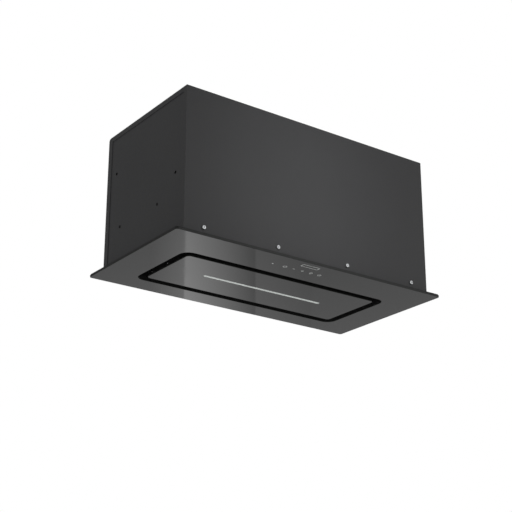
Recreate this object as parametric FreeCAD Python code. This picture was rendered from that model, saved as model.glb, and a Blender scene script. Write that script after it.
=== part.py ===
"""Ceiling range hood with perimeter suction: a glass flange, a drop-down centre panel with a light strip,
two grease filters and a double-inlet blower in a folded sheet housing.

Millimetres. The origin is the plan centre of the glass flange on its underside, which faces the cooktop.
+Z is up, +X runs along the long side and -Y is the side with the touch keys.
"""
import FreeCAD, Part
import math
import os

V = FreeCAD.Vector
X_AXIS, Y_AXIS, Z_AXIS = V(1, 0, 0), V(0, 1, 0), V(0, 0, 1)

# ---------------------------------------------------------------- driving dimensions
# Glass flange, and the suction opening in it
flange_length = 600.0
flange_depth = 300.0
flange_corner_radius = 5.0
glass_thickness = 4.0
glass_edge_chamfer = 0.5
opening_length = 463.0
opening_depth = 174.0
opening_corner_radius = 20.0
opening_offset = 16.5            # behind the flange's centre, which leaves room for the touch keys

# Folded housing
housing_length = 556.0
housing_depth = 274.0
housing_top = 283.0
sheet = 1.0
past = 1.0                       # how far a cutting shape reaches beyond the face that it cuts
bend_radius = 6.0                # outside radius of the fold between the top and the rear
front_lap = 10.0                 # width of the laps folded over the side panels
top_lap = 10.0
rear_lap = 13.0
base_thickness = 1.5
base_inset = 1.0
upstand_height = 30.0
upstand_thickness = 1.2
wall_seat_rise = 0.5             # bead on the base that the housing walls stand on
wall_seat_margin = 0.5

# Screws through the front and rear walls
wall_screw_count = 4
wall_screw_pitch = 158.5
wall_screw_height = 20.6
screw_radius = 2.0
screw_head_radius = 4.0
screw_head_height = 2.4
screw_head_chamfer = 0.8
screw_length = 8.0
hole_clearance = 0.1

# Holes in the side panels
fixing_hole_radius = 3.0
fixing_hole_spread = 104.3       # half the distance between the two holes, front to rear
fixing_hole_low = 125.4
fixing_hole_high = 198.8
rivet_radius = 1.5
rivet_head_radius = 2.6
rivet_head_height = 0.8
rivet_length = 4.0
rivet_centre = 19.0
rivet_spread = 65.2
rivet_drop = 3.0                 # below the shelf's underside

# Suction box between the opening and the filter shelf
box_wall = 0.8
box_foot = 8.0
shelf_height = 88.0              # underside of the shelf that the filters close
shelf_thickness = 1.2
shelf_flange = 10.0

# Centre panel
gap = 16.5                       # suction gap all round the panel
panel_corner_radius = 8.0
tray_inset = 2.0
tray_height = 12.0
tray_wall = 1.0
tray_floor = 0.8
lens_length = 270.0
lens_width = 6.6
lens_clearance = 0.2
lens_rim = 1.4
lens_rim_height = 1.2
lens_end_margin = 0.01           # keeps the lens ends just short of full half rounds
profile_margin = 5.0             # light profile beyond the lens at each end
profile_width = 26.0
profile_height = 10.0
profile_wall = 1.6
led_board_thickness = 1.6
led_count = 18
led_size = 2.8
led_height = 0.7

# Panel hinges
hinge_spread = 180.0
hinge_inset = 6.0                # axis in front of the panel's rear edge
hinge_height = 11.0
hinge_pin_radius = 2.0
hinge_ear_radius = 4.0
hinge_ear_thickness = 2.0
hinge_arm_depth = 8.0
hinge_sweep_clearance = 1.5
hinge_side_gap = 0.5
hinge_foot_height = 24.0
hinge_foot_width = 22.0
hinge_foot_thickness = 1.5
hinge_gusset_reach = 16.0
yoke_thickness = 1.5
yoke_foot_thickness = 1.2
yoke_length = 17.0
running_clearance = 0.05

# Magnetic catches that hold the panel shut
catch_spread = 150.0
catch_width = 20.0
catch_depth = 10.0
catch_setback = 4.0              # behind the tray's front wall
catch_air = 0.3
catch_arm_thickness = 2.0
catch_arm_rise = 3.0             # arm above the tray's rim
catch_foot_height = 16.0
striker_thickness = 1.7
striker_overlap = 2.0

# Grease filters
filter_spacing = 6.0             # between the two filters
filter_side_gap = 12.0
filter_end_gap = 10.0
filter_thickness = 9.0
filter_rim = 11.0
filter_face = 1.6
filter_air = 0.3                 # between a filter and the shelf it closes
filter_lap = 10.0                # of a filter under the shelf
filter_corner_radius = 3.0
bridge_lap = 1.0
mesh_thickness = 2.0
mesh_clearance = 0.3
mesh_hole = 13.0                 # side of the square openings, set corner down
mesh_web = 2.4
tab_width = 20.0
tab_reach = 8.0
tab_thickness = 2.0
tab_spread = 60.0
tab_clearance = 0.7
tab_pivot_inset = 2.5            # of the tilting axis from the tabs' rear ends
rail_thickness = 1.2
rail_reach = 6.0
rail_foot = 12.0
rail_end_gap = 9.0

# Filter latches
latch_width = 32.0
latch_thickness = 2.5
latch_engagement = 5.0
latch_travel = 6.0
latch_length = 26.0
latch_clearance = 0.3
latch_ridge_length = 4.0
latch_ridge_height = 3.0
latch_ridge_pitch = 6.0
latch_ridge_inset = 5.0
latch_ridge_count = 2
latch_corner_radius = 1.5
guide_wall = 3.0
guide_lip = 3.0
guide_lip_thickness = 1.2
keeper_thickness = 1.3
keeper_width = 40.0
keeper_foot = 12.0
keeper_gap = 1.8                 # between the keeper's tip and the filter

# Touch control behind the glass
touch_length = 165.0
touch_depth = 38.0
touch_centre_x = -2.5
touch_centre_y = -105.0
touch_cover_height = 17.0
touch_cover_wall = 1.6
touch_cover_lip = 4.0
touch_board_thickness = 1.6
key_height = -109.5              # line of the touch keys
key_first = -43.3
key_pitch = 19.7
key_count = 5
key_pad = 7.0
key_pad_thickness = 0.4
touch_chip = 7.0
touch_chip_height = 3.2
receiver_x = 67.8
receiver_y = -93.6
receiver_radius = 2.5
receiver_height = 5.0
receiver_chamfer = 1.0

# Blower
scroll_wall = 2.0
scroll_growth = 10.0             # of the radius per quarter turn
scroll_top_gap = 12.0
scroll_foot_gap = 3.3
scroll_offset = -22.0            # axis in front of the housing's centre
tip_clearance = 5.0
wheel_width = 116.0
wheel_side_clearance = 4.0
wheel_ring = 6.0
wheel_ring_width = 2.0
wheel_disc = 2.0
blade_count = 32
blade_depth = 14.0
blade_lean = 9.0                 # degrees, forward at the tip
blade_thickness = 1.2            # along its edges
blade_bow = 1.6                  # more than that in the middle of its back
hub_radius = 10.0
hub_front = 8.0
hub_rear = 14.0
throat_setback = 29.0            # throat's front wall behind the blower axis
throat_lip = 6.0
inlet_lap = 3.0                  # inlet smaller than the blades' inner radius
inlet_lip = 6.0
inlet_width = 9.0
inlet_seat = 2.0
inlet_throat_depth = 3.0
inlet_throat_flare = 1.1

# Motor
shaft_radius = 4.0
shaft_tail = 16.0
shaft_length = 76.0
motor_radius = 38.0
motor_gap = 2.0
motor_nose = 6.0
motor_nose_radius = 32.0
motor_flange = 4.0
motor_flange_width = 3.0
motor_cap_length = 13.0
motor_cap_radius = 30.0
motor_cap_taper = 2.0
motor_bore_margin = 2.0
bracket_thickness = 3.0
bracket_ring = 5.0
bracket_arm_width = 12.0
bracket_foot = 8.0
bracket_foot_gap = 1.0
bracket_arms = 3
bracket_start = 90.0             # degrees from +Y, first arm up

# Blower supports
hanger_width = 80.0
hanger_setback = 38.0
hanger_foot = 14.0
hanger_thickness = 1.5
hanger_low = 36.75               # foot of its web above the blower axis

# Duct collar with its two non-return flaps
duct_radius = 75.0
duct_wall = 2.0
duct_height = 45.0
collar_plate = 172.0
collar_plate_thickness = 2.5
collar_corner_radius = 10.0
collar_screw_spread = 78.0
collar_screw_radius = 1.9
collar_screw_head = 3.8
collar_screw_head_height = 2.2
collar_screw_length = 9.0
flap_seat = 4.0
flap_seat_thickness = 1.2
flap_seat_height = 6.5
flap_thickness = 1.0
flap_air = 0.3
flap_edge_clearance = 1.5
flap_start = 3.0                 # from the pin's axis
flap_pin_radius = 1.5
flap_knuckle_radius = 2.6
flap_knuckle_length = 18.0
flap_knuckle_gap = 0.5
flap_knuckle_sink = 1.6          # of the knuckles into the flap
flap_knuckle_count = 4
flap_rib_height = 3.0
flap_rib_width = 1.6
flap_rib_spread = 30.0
flap_rib_reach = 0.75            # of the flap's radius
flap_rib_start = 4.0

# Electrical parts in the blower chamber
control_length = 104.0
control_depth = 82.0
control_height = 42.0
control_side_gap = 12.0
control_centre = -92.0
control_wall = 1.0
control_lid_lip = 8.0
control_lid_clearance = 0.2
board_margin = 5.0
board_standoff = 6.0
board_thickness = 1.6
transformer_size = (28.0, 26.0, 20.0)
transformer_inset = 12.0
relay_size = (16.0, 10.0, 15.0)
relay_inset = 10.0
relay_pitch = 14.0
plug_size = (18.0, 8.0, 9.0)
plug_inset = 10.0
plug_setback = 4.0
plug_pitch = 24.0
board_row = 3                    # relays, and plugs
terminal_length = 46.0
terminal_depth = 22.0
terminal_height = 20.0
terminal_gap = 14.0
terminal_ways = 3
terminal_wire_radius = 2.4
terminal_screw_radius = 2.2
terminal_screw_depth = 7.0
capacitor_radius = 16.0
capacitor_height = 58.0
capacitor_gap = 18.0
capacitor_chamfer = 2.0
capacitor_tab = 6.0              # from the middle to each tab
capacitor_tab_size = (0.8, 6.0, 8.0)
driver_length = 100.0
driver_depth = 34.0
driver_height = 22.0
driver_ear = 8.0
driver_ear_thickness = 2.0
driver_hole_radius = 2.0
driver_corner_radius = 1.5
grommet_radius = 11.0
grommet_bore = 5.0
grommet_neck = 8.0
grommet_lip = 2.5
grommet_skirt = 5.0
grommet_taper = 1.0

# ---------------------------------------------------------------- positions that follow from them
half_x = housing_length / 2
half_y = housing_depth / 2
inner_x = half_x - 2 * sheet                 # side panels stand inside the laps
inner_y = half_y - sheet
under_top = housing_top - sheet
base_top = glass_thickness + base_thickness
wall_foot = base_top + wall_seat_rise
opening_front = opening_offset - opening_depth / 2
opening_rear = opening_offset + opening_depth / 2
shelf_top = shelf_height + shelf_thickness

panel_length = opening_length - 2 * gap
panel_depth = opening_depth - 2 * gap
panel_front = opening_front + gap
panel_rear = opening_rear - gap
tray_front = panel_front + tray_inset
tray_rear = panel_rear - tray_inset
tray_floor_top = glass_thickness + tray_floor
tray_rim = glass_thickness + tray_height
hinge_y = panel_rear - hinge_inset
arm_bottom = hinge_height + hinge_inset + hinge_sweep_clearance

filter_top = shelf_height - filter_air
filter_bottom = filter_top - filter_thickness
filter_front = opening_front + filter_end_gap
filter_rear = opening_rear - filter_end_gap
filter_inner = filter_spacing / 2
filter_outer = opening_length / 2 - filter_side_gap
filter_centre = (filter_inner + filter_outer) / 2
tab_height = filter_bottom + tab_thickness / 2 + filter_air
tilt_axis_y = filter_rear + tab_reach - tab_pivot_inset
rail_top = tab_height - tab_thickness / 2 - tab_clearance
latch_top = filter_bottom - latch_clearance
latch_bottom = latch_top - latch_thickness
keeper_tip = filter_front - keeper_gap
latch_front = keeper_tip - latch_engagement

spiral_radius = (under_top - shelf_top - scroll_top_gap - scroll_foot_gap - 2 * scroll_wall
                 - scroll_growth) / 2
axis_z = shelf_top + scroll_foot_gap + scroll_wall + spiral_radius + 1.5 * scroll_growth
axis_y = scroll_offset
wheel_radius = spiral_radius - scroll_growth / 2 - tip_clearance
blade_inner = wheel_radius - blade_depth
scroll_inner_x = wheel_width / 2 + wheel_side_clearance
scroll_outer_x = scroll_inner_x + scroll_wall
throat_front = axis_y + throat_setback
throat_rear = axis_y + scroll_growth / 2 + spiral_radius + 2 * scroll_growth
inlet_radius = blade_inner - inlet_lap

motor_front = wheel_disc / 2 + hub_front + motor_gap
bracket_x = scroll_outer_x + inlet_lip + motor_gap
motor_rear = bracket_x

collar_y = (throat_front + throat_rear) / 2
collar_base = housing_top + collar_plate_thickness
duct_bore = duct_radius - duct_wall
flap_radius = duct_bore - flap_edge_clearance
flap_low = collar_base + flap_seat_height + flap_air
flap_axis = flap_low + flap_thickness + flap_knuckle_radius - flap_knuckle_sink


# ---------------------------------------------------------------- shapes
def box(x0, x1, y0, y1, z0, z1):
    return Part.makeBox(x1 - x0, y1 - y0, z1 - z0, V(x0, y0, z0))


def cylinder_x(radius, x0, x1, y, z):
    return Part.makeCylinder(radius, x1 - x0, V(x0, y, z), X_AXIS)


def cylinder_y(radius, y0, y1, x, z):
    return Part.makeCylinder(radius, y1 - y0, V(x, y0, z), Y_AXIS)


def cylinder_z(radius, z0, z1, x, y):
    return Part.makeCylinder(radius, z1 - z0, V(x, y, z0), Z_AXIS)


def fuse(shapes):
    """One solid from touching or overlapping shapes."""
    return shapes[0].multiFuse(shapes[1:]).removeSplitter()


def rounded_plate(x0, x1, y0, y1, z0, z1, radius):
    """A plate with four rounded vertical corners."""
    plate = box(x0, x1, y0, y1, z0, z1)
    upright = [edge for edge in plate.Edges if abs(edge.tangentAt(edge.FirstParameter).z) > 0.5]
    return plate.makeFillet(radius, upright)


def centred_plate(length, depth, centre_y, z0, z1, radius):
    return rounded_plate(-length / 2, length / 2, centre_y - depth / 2, centre_y + depth / 2, z0, z1, radius)


def mirrored(shape):
    """The same piece on the other side of the hood."""
    return shape.mirror(V(0, 0, 0), X_AXIS)


def yz_prism(edges, x0, x1):
    """A prism along X from closed edges in the plane x = 0."""
    face = Part.Face(Part.Wire(edges))
    prism = face.extrude(V(x1 - x0, 0, 0))
    prism.translate(V(x0, 0, 0))
    return prism


def yz_polygon(points, x0, x1):
    corners = [V(0, y, z) for y, z in points]
    face = Part.Face(Part.makePolygon(corners + corners[:1]))
    prism = face.extrude(V(x1 - x0, 0, 0))
    prism.translate(V(x0, 0, 0))
    return prism


def spread(count, pitch):
    """Positions of a row of equally spaced features about zero."""
    return [(i - (count - 1) / 2) * pitch for i in range(count)]


# ---------------------------------------------------------------- glass flange and base
def opening_cut(z0, z1, grow=0.0):
    return centred_plate(opening_length + 2 * grow, opening_depth + 2 * grow, opening_offset, z0, z1,
                         opening_corner_radius + grow)


def touch_window(z0, z1, margin=0.0):
    half_length = touch_length / 2 + margin
    half_depth = touch_depth / 2 + margin
    return box(touch_centre_x - half_length, touch_centre_x + half_length,
               touch_centre_y - half_depth, touch_centre_y + half_depth, z0, z1)


def glass_frame():
    """Black glass pane with the suction opening, its lower outside edge ground to a small chamfer."""
    pane = centred_plate(flange_length, flange_depth, 0, 0, glass_thickness, flange_corner_radius)
    lower = [edge for edge in pane.Edges if edge.BoundBox.ZMax < glass_thickness / 2]
    pane = pane.makeChamfer(glass_edge_chamfer, lower)
    return pane.cut(opening_cut(-past, glass_thickness + past))


def wall_screw_places():
    return spread(wall_screw_count, wall_screw_pitch)


def wall_screw_holes():
    holes = [cylinder_y(screw_radius + hole_clearance, -half_y - past, half_y + past, x, wall_screw_height)
             for x in wall_screw_places()]
    return Part.makeCompound(holes)


def bottom_frame():
    """Steel base on the glass, with a bead under the housing walls and an upstand that they screw to."""
    base = centred_plate(flange_length - 2 * base_inset, flange_depth - 2 * base_inset, 0,
                         glass_thickness, base_top, flange_corner_radius)
    upstand_top = base_top + upstand_height
    ring = box(-inner_x, inner_x, -inner_y, inner_y, base_top, upstand_top)
    inside = box(-inner_x + upstand_thickness, inner_x - upstand_thickness,
                 -inner_y + upstand_thickness, inner_y - upstand_thickness, base_top, upstand_top)
    seat_x, seat_y = half_x + wall_seat_margin, half_y + wall_seat_margin
    bead = box(-seat_x, seat_x, -seat_y, seat_y, base_top, wall_foot)
    frame = fuse([base, bead.cut(inside), ring.cut(inside)])
    frame = frame.cut(opening_cut(glass_thickness - past, base_top + past))
    frame = frame.cut(touch_window(glass_thickness - past, base_top + past))
    return frame.cut(wall_screw_holes())


def suction_box():
    """Rounded rectangular collar that leads the air from the opening up to the filters."""
    foot = opening_cut(base_top, base_top + sheet, box_wall + box_foot)
    tube = opening_cut(base_top, shelf_height, box_wall)
    return fuse([foot, tube]).cut(opening_cut(base_top - past, shelf_height + past))


# ---------------------------------------------------------------- housing
def front_panel():
    """Flat front wall with a lap folded back over each side panel."""
    wall = box(-half_x, half_x, -half_y, -inner_y, wall_foot, housing_top)
    lap_top = housing_top - top_lap
    left = box(-half_x, -half_x + sheet, -half_y, -half_y + front_lap, wall_foot, lap_top)
    return fuse([wall, left, mirrored(left)]).cut(wall_screw_holes())


def shell_section(reach, drop, x0, x1):
    """Top and rear of the housing as one folded strip, reach and drop measured in from the outside."""
    outer = box(x0, x1, -inner_y, half_y, wall_foot, housing_top)
    fold = [edge for edge in outer.Edges
            if abs(edge.tangentAt(edge.FirstParameter).x) > 0.5
            and edge.CenterOfMass.y > 0 and edge.CenterOfMass.z > base_top + 1]
    outer = outer.makeFillet(bend_radius, fold)
    inner = box(x0, x1, -inner_y, half_y - reach, wall_foot, housing_top - drop)
    if bend_radius > max(reach, drop):
        fold = [edge for edge in inner.Edges
                if abs(edge.tangentAt(edge.FirstParameter).x) > 0.5
                and edge.CenterOfMass.y > 0 and edge.CenterOfMass.z > base_top + 1]
        inner = inner.makeFillet(bend_radius - max(reach, drop), fold)
    return outer.cut(inner)


def rear_top_shell():
    """Sheet folded over the top and down the rear, and an angle spot welded under each end as a lap.

    The sheet is kept as two touching solids, the flat top and the rear with its fold, because convex
    collision pieces follow a flat sheet but not a folded one.
    """
    folded = shell_section(sheet, sheet, -half_x, half_x)
    throat = box(-scroll_inner_x, scroll_inner_x, throat_front, throat_rear,
                 under_top - past, housing_top + past)
    folded = folded.cut(Part.makeCompound([throat, wall_screw_holes(), grommet_hole(), collar_screw_holes()]))
    flat_top = box(-half_x - past, half_x + past, -half_y, half_y - bend_radius,
                   under_top - past, housing_top + past)
    lap = shell_section(rear_lap, top_lap, -half_x, -half_x + sheet)
    lap = lap.cut(shell_section(sheet, sheet, -half_x, -half_x + sheet))
    return Part.makeCompound([folded.common(flat_top), folded.cut(flat_top), lap, mirrored(lap)])


def side_panel():
    """Left side, recessed by one sheet behind the laps, with its fixing and rivet holes."""
    wall = box(-inner_x - sheet, -inner_x, -inner_y, inner_y, wall_foot, under_top)
    fold = [edge for edge in wall.Edges
            if abs(edge.tangentAt(edge.FirstParameter).x) > 0.5
            and edge.CenterOfMass.y > 0 and edge.CenterOfMass.z > base_top + 1]
    wall = wall.makeFillet(bend_radius - sheet, fold)
    holes = [cylinder_x(fixing_hole_radius, -half_x, -inner_x + past, fixing_hole_spread, fixing_hole_high),
             cylinder_x(fixing_hole_radius, -half_x, -inner_x + past, -fixing_hole_spread, fixing_hole_low)]
    return wall.cut(Part.makeCompound(holes + rivet_holes()))


def pan_screw(x, side):
    """Pan-head screw along Y, its head outside the front (side -1) or the rear wall (side 1)."""
    head = Part.makeCylinder(screw_head_radius, screw_head_height, V(x, 0, wall_screw_height), Y_AXIS)
    rim = [edge for edge in head.Edges if edge.BoundBox.YMin > screw_head_height / 2 and edge.Closed]
    head = head.makeChamfer(screw_head_chamfer, rim)
    shank = cylinder_y(screw_radius, -screw_length, 0, x, wall_screw_height)
    screw = fuse([head, shank])
    screw.translate(V(0, half_y, 0))
    return screw if side > 0 else screw.mirror(V(0, 0, 0), Y_AXIS)


def wall_screws(side):
    return Part.makeCompound([pan_screw(x, side) for x in wall_screw_places()])


# ---------------------------------------------------------------- filter shelf
def rivet_places():
    return [(rivet_centre + s * rivet_spread, shelf_height - rivet_drop) for s in (-1, 1)]


def rivet_holes():
    return [cylinder_x(rivet_radius + hole_clearance, -half_x, -inner_x + 2 * shelf_thickness, y, z)
            for y, z in rivet_places()]


def filter_shelf():
    """Partition under the blower, with a window over each filter and riveted ends."""
    plate = box(-inner_x, inner_x, -inner_y, inner_y, shelf_height, shelf_top)
    end = box(-inner_x, -inner_x + shelf_thickness, -inner_y, inner_y, shelf_height - shelf_flange, shelf_top)
    end = end.cut(Part.makeCompound(rivet_holes()))
    window = rounded_plate(filter_inner + filter_lap, filter_outer - filter_lap, filter_front + filter_lap,
                           filter_rear - filter_lap, shelf_height - past, shelf_top + past, filter_lap)
    return fuse([plate, end, mirrored(end)]).cut(Part.makeCompound([window, mirrored(window)]))


def shelf_rivets():
    """Rivets through the side panels that hold the shelf's ends."""
    rivets = []
    for y, z in rivet_places():
        outside = -inner_x - sheet
        head = cylinder_x(rivet_head_radius, outside - rivet_head_height, outside, y, z)
        shank = cylinder_x(rivet_radius, outside, outside + rivet_length, y, z)
        rivet = fuse([head, shank])
        rivets += [rivet, mirrored(rivet)]
    return Part.makeCompound(rivets)


# ---------------------------------------------------------------- centre panel
def lens_slot(z0, z1, margin=0.0):
    half = lens_width / 2 + margin
    return rounded_plate(-lens_length / 2 - margin, lens_length / 2 + margin,
                         opening_offset - half, opening_offset + half, z0, z1, half - lens_end_margin)


def panel_glass():
    pane = centred_plate(panel_length, panel_depth, opening_offset, 0, glass_thickness, panel_corner_radius)
    lower = [edge for edge in pane.Edges if edge.BoundBox.ZMax < glass_thickness / 2]
    pane = pane.makeChamfer(glass_edge_chamfer, lower)
    return pane.cut(lens_slot(-past, glass_thickness + past, lens_clearance))


def profile_span():
    """Half length and half width of the light profile."""
    return lens_length / 2 + profile_margin, profile_width / 2


def panel_tray():
    """Pressed steel tray bonded on the glass, notched where the hinge arms pass through its rear wall."""
    length = panel_length - 2 * tray_inset
    depth = panel_depth - 2 * tray_inset
    radius = panel_corner_radius - tray_inset
    tray = centred_plate(length, depth, opening_offset, glass_thickness, tray_rim, radius)
    inside = centred_plate(length - 2 * tray_wall, depth - 2 * tray_wall, opening_offset,
                           tray_floor_top, tray_rim + past, radius - tray_wall)
    half_length, half_width = profile_span()
    seat = box(-half_length, half_length, opening_offset - half_width, opening_offset + half_width,
               glass_thickness - past, tray_floor_top + past)
    notch_half = hinge_ear_thickness / 2 + hinge_side_gap + yoke_thickness + hinge_side_gap
    notch = box(hinge_spread - notch_half, hinge_spread + notch_half,
                tray_rear - tray_wall - past, tray_rear + past, tray_floor_top, tray_rim + past)
    return tray.cut(Part.makeCompound([inside, seat, notch, mirrored(notch)]))


def led_lens():
    """Frosted light strip, flush with the glass, with a rim that rests on the back of the glass."""
    strip = lens_slot(0, glass_thickness)
    rim = lens_slot(glass_thickness, glass_thickness + lens_rim_height, lens_rim)
    return fuse([strip, rim])


def led_profile():
    """Aluminium channel over the lens."""
    half_length, half_width = profile_span()
    top = glass_thickness + profile_height
    channel = box(-half_length, half_length, opening_offset - half_width, opening_offset + half_width,
                  glass_thickness, top)
    cavity = box(-half_length + profile_wall, half_length - profile_wall,
                 opening_offset - half_width + profile_wall, opening_offset + half_width - profile_wall,
                 glass_thickness, top - profile_wall)
    return channel.cut(cavity)


def led_board():
    """Strip board under the channel's web, with its row of light sources facing down."""
    half_length, half_width = profile_span()
    top = glass_thickness + profile_height - profile_wall
    bottom = top - led_board_thickness
    reach = half_length - 2 * profile_wall
    board = box(-reach, reach, opening_offset - half_width / 2, opening_offset + half_width / 2, bottom, top)
    lamps = [box(x - led_size / 2, x + led_size / 2, opening_offset - led_size / 2,
                 opening_offset + led_size / 2, bottom - led_height, bottom)
             for x in spread(led_count, lens_length / led_count)]
    return fuse([board] + lamps)


# ---------------------------------------------------------------- panel hinges
def hinge_bracket():
    """Fixed arm on the suction box: over the panel's rear edge and down to the hinge pin."""
    x0 = hinge_spread - hinge_ear_thickness / 2
    x1 = hinge_spread + hinge_ear_thickness / 2
    wall = opening_rear
    arm_top = arm_bottom + hinge_arm_depth
    level = box(x0, x1, hinge_y - hinge_ear_radius, wall, arm_bottom, arm_top)
    drop = box(x0, x1, hinge_y - hinge_ear_radius, hinge_y + hinge_ear_radius, hinge_height, arm_top)
    eye = cylinder_x(hinge_ear_radius, x0, x1, hinge_y, hinge_height)
    gusset = yz_polygon([(wall, arm_top), (wall, arm_bottom + hinge_foot_height),
                         (wall - hinge_gusset_reach, arm_top)], x0, x1)
    foot = box(hinge_spread - hinge_foot_width / 2, hinge_spread + hinge_foot_width / 2,
               wall - hinge_foot_thickness, wall, arm_bottom, arm_bottom + hinge_foot_height)
    bore = cylinder_x(hinge_pin_radius + running_clearance, x0 - past, x1 + past, hinge_y, hinge_height)
    return fuse([level, drop, eye, gusset, foot]).cut(bore)


def yoke_span():
    inner = hinge_ear_thickness / 2 + hinge_side_gap
    return inner, inner + yoke_thickness


def hinge_yoke():
    """Two ears on the tray floor that carry the hinge pin on either side of the fixed arm."""
    inner, outer = yoke_span()
    rear = tray_rear - tray_wall
    front = rear - yoke_length
    foot = box(hinge_spread - outer, hinge_spread + outer, front, rear,
               tray_floor_top, tray_floor_top + yoke_foot_thickness)
    ears = []
    for middle in (hinge_spread - (inner + outer) / 2, hinge_spread + (inner + outer) / 2):
        x0, x1 = middle - yoke_thickness / 2, middle + yoke_thickness / 2
        ears.append(cylinder_x(rear - hinge_y, x0, x1, hinge_y, hinge_height))
        ears.append(box(x0, x1, hinge_y - (rear - hinge_y), rear, tray_floor_top, hinge_height))
    bore = cylinder_x(hinge_pin_radius, hinge_spread - outer - past, hinge_spread + outer + past,
                      hinge_y, hinge_height)
    return fuse([foot] + ears).cut(bore)


def hinge_pin():
    inner, outer = yoke_span()
    return cylinder_x(hinge_pin_radius, hinge_spread - outer, hinge_spread + outer, hinge_y, hinge_height)


# ---------------------------------------------------------------- magnetic catches
def catch_front():
    return tray_front + tray_wall + catch_setback


def magnetic_catch():
    """Magnet in its holder, on an arm that reaches back over the gap from the suction box."""
    x0, x1 = catch_spread - catch_width / 2, catch_spread + catch_width / 2
    rear = catch_front() + catch_depth
    low = tray_rim + catch_arm_rise
    striker_top = tray_floor_top + striker_thickness
    arm = box(x0, x1, opening_front, rear, low, low + catch_arm_thickness)
    foot = box(x0, x1, opening_front, opening_front + catch_arm_thickness, low, low + catch_foot_height)
    magnet = box(x0, x1, catch_front(), rear, striker_top + catch_air, low)
    return fuse([arm, foot, magnet])


def striker():
    """Steel plate on the tray floor under the magnet."""
    half = catch_width / 2 + striker_overlap
    front, rear = catch_front() - striker_overlap, catch_front() + catch_depth + striker_overlap
    return box(catch_spread - half, catch_spread + half, front, rear,
               tray_floor_top, tray_floor_top + striker_thickness)


# ---------------------------------------------------------------- grease filters
def mesh_span():
    """Corners of the room for the mesh inside the filter's rim."""
    return (filter_inner + filter_rim / 2, filter_outer - filter_rim / 2,
            filter_front + filter_rim / 2, filter_rear - filter_rim / 2)


def latch_guide():
    """Two rails under the filter's front rim that the latch runs in."""
    y0 = filter_front + guide_lip
    y1 = y0 + latch_length
    lip_bottom = latch_bottom - latch_clearance - guide_lip_thickness
    inner = latch_width / 2 + latch_clearance
    rails = []
    for side in (-1, 1):
        outside = filter_centre + side * (inner + guide_wall)
        wall = sorted((filter_centre + side * inner, outside))
        lip = sorted((filter_centre + side * (inner - guide_lip), outside))
        rails.append(box(wall[0], wall[1], y0, y1, lip_bottom, filter_bottom))
        rails.append(box(lip[0], lip[1], y0, y1, lip_bottom, lip_bottom + guide_lip_thickness))
    return rails


def filter_frame():
    """Aluminium rim with a groove for the mesh, two rear tabs and the latch guide."""
    rim = rounded_plate(filter_inner, filter_outer, filter_front, filter_rear, filter_bottom, filter_top,
                        filter_corner_radius)
    x0, x1, y0, y1 = mesh_span()
    groove = box(x0, x1, y0, y1, filter_bottom + filter_face, filter_top - filter_face)
    window = box(filter_inner + filter_rim, filter_outer - filter_rim, filter_front + filter_rim,
                 filter_rear - filter_rim, filter_bottom - past, filter_top + past)
    rim = rim.cut(Part.makeCompound([window, groove]))
    tabs = []
    tab_bottom = tab_height - tab_thickness / 2
    for x in (filter_centre - tab_spread, filter_centre + tab_spread):
        tabs.append(box(x - tab_width / 2, x + tab_width / 2, filter_rear - filter_face,
                        filter_rear + tab_reach, tab_bottom, tab_bottom + tab_thickness))
    bridge = box(filter_centre - latch_width / 2, filter_centre + latch_width / 2,
                 filter_front + filter_rim - bridge_lap, filter_front + latch_length + guide_lip,
                 filter_bottom, filter_bottom + filter_face)
    return fuse([rim, bridge] + tabs + latch_guide())


def filter_mesh():
    """Expanded mesh: a sheet with rows of diamond openings, alternate rows shifted by half a pitch."""
    x0, x1, y0, y1 = mesh_span()
    middle = (filter_bottom + filter_top) / 2
    low, high = middle - mesh_thickness / 2, middle + mesh_thickness / 2
    foil = box(x0 + mesh_clearance, x1 - mesh_clearance, y0 + mesh_clearance, y1 - mesh_clearance,
               low, high)
    half = mesh_hole / math.sqrt(2)
    pitch = 2 * half + mesh_web * math.sqrt(2)
    edge = filter_rim / 2 + mesh_web
    columns = int((x1 - x0 - 2 * edge - 2 * half) / pitch) + 1
    rows = int((y1 - y0 - 2 * edge - 2 * half) / (pitch / 2)) + 1
    holes = []
    for row in range(rows):
        y = (y0 + y1) / 2 + (row - (rows - 1) / 2) * pitch / 2
        count = columns - row % 2
        for x in spread(count, pitch):
            centre = V((x0 + x1) / 2 + x, y, low - past)
            corners = [centre + V(-half, 0, 0), centre + V(0, -half, 0),
                       centre + V(half, 0, 0), centre + V(0, half, 0)]
            diamond = Part.Face(Part.makePolygon(corners + corners[:1]))
            holes.append(diamond.extrude(V(0, 0, mesh_thickness + 2 * past)))
    return foil.cut(Part.makeCompound(holes))


def filter_latch():
    """Sliding latch: a tongue over the keeper in front, thumb ridges below."""
    half = latch_width / 2
    rear = filter_front + guide_lip + latch_length - latch_travel
    slider = rounded_plate(filter_centre - half, filter_centre + half, latch_front, rear,
                           latch_bottom, latch_top, latch_corner_radius)
    inner = half - guide_lip - latch_clearance
    ridges = []
    for i in range(latch_ridge_count):
        y1 = rear - latch_ridge_inset - i * latch_ridge_pitch
        ridges.append(box(filter_centre - inner, filter_centre + inner, y1 - latch_ridge_length, y1,
                          latch_bottom - latch_ridge_height, latch_bottom))
    return fuse([slider] + ridges)


def filter_keeper():
    """Ledge on the suction box's front wall that the latch rests on."""
    top = latch_bottom - latch_clearance
    half = keeper_width / 2
    ledge = box(filter_centre - half, filter_centre + half, opening_front, keeper_tip,
                top - keeper_thickness, top)
    foot = box(filter_centre - half, filter_centre + half, opening_front, opening_front + keeper_thickness,
               top - keeper_foot, top)
    return fuse([ledge, foot])


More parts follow.
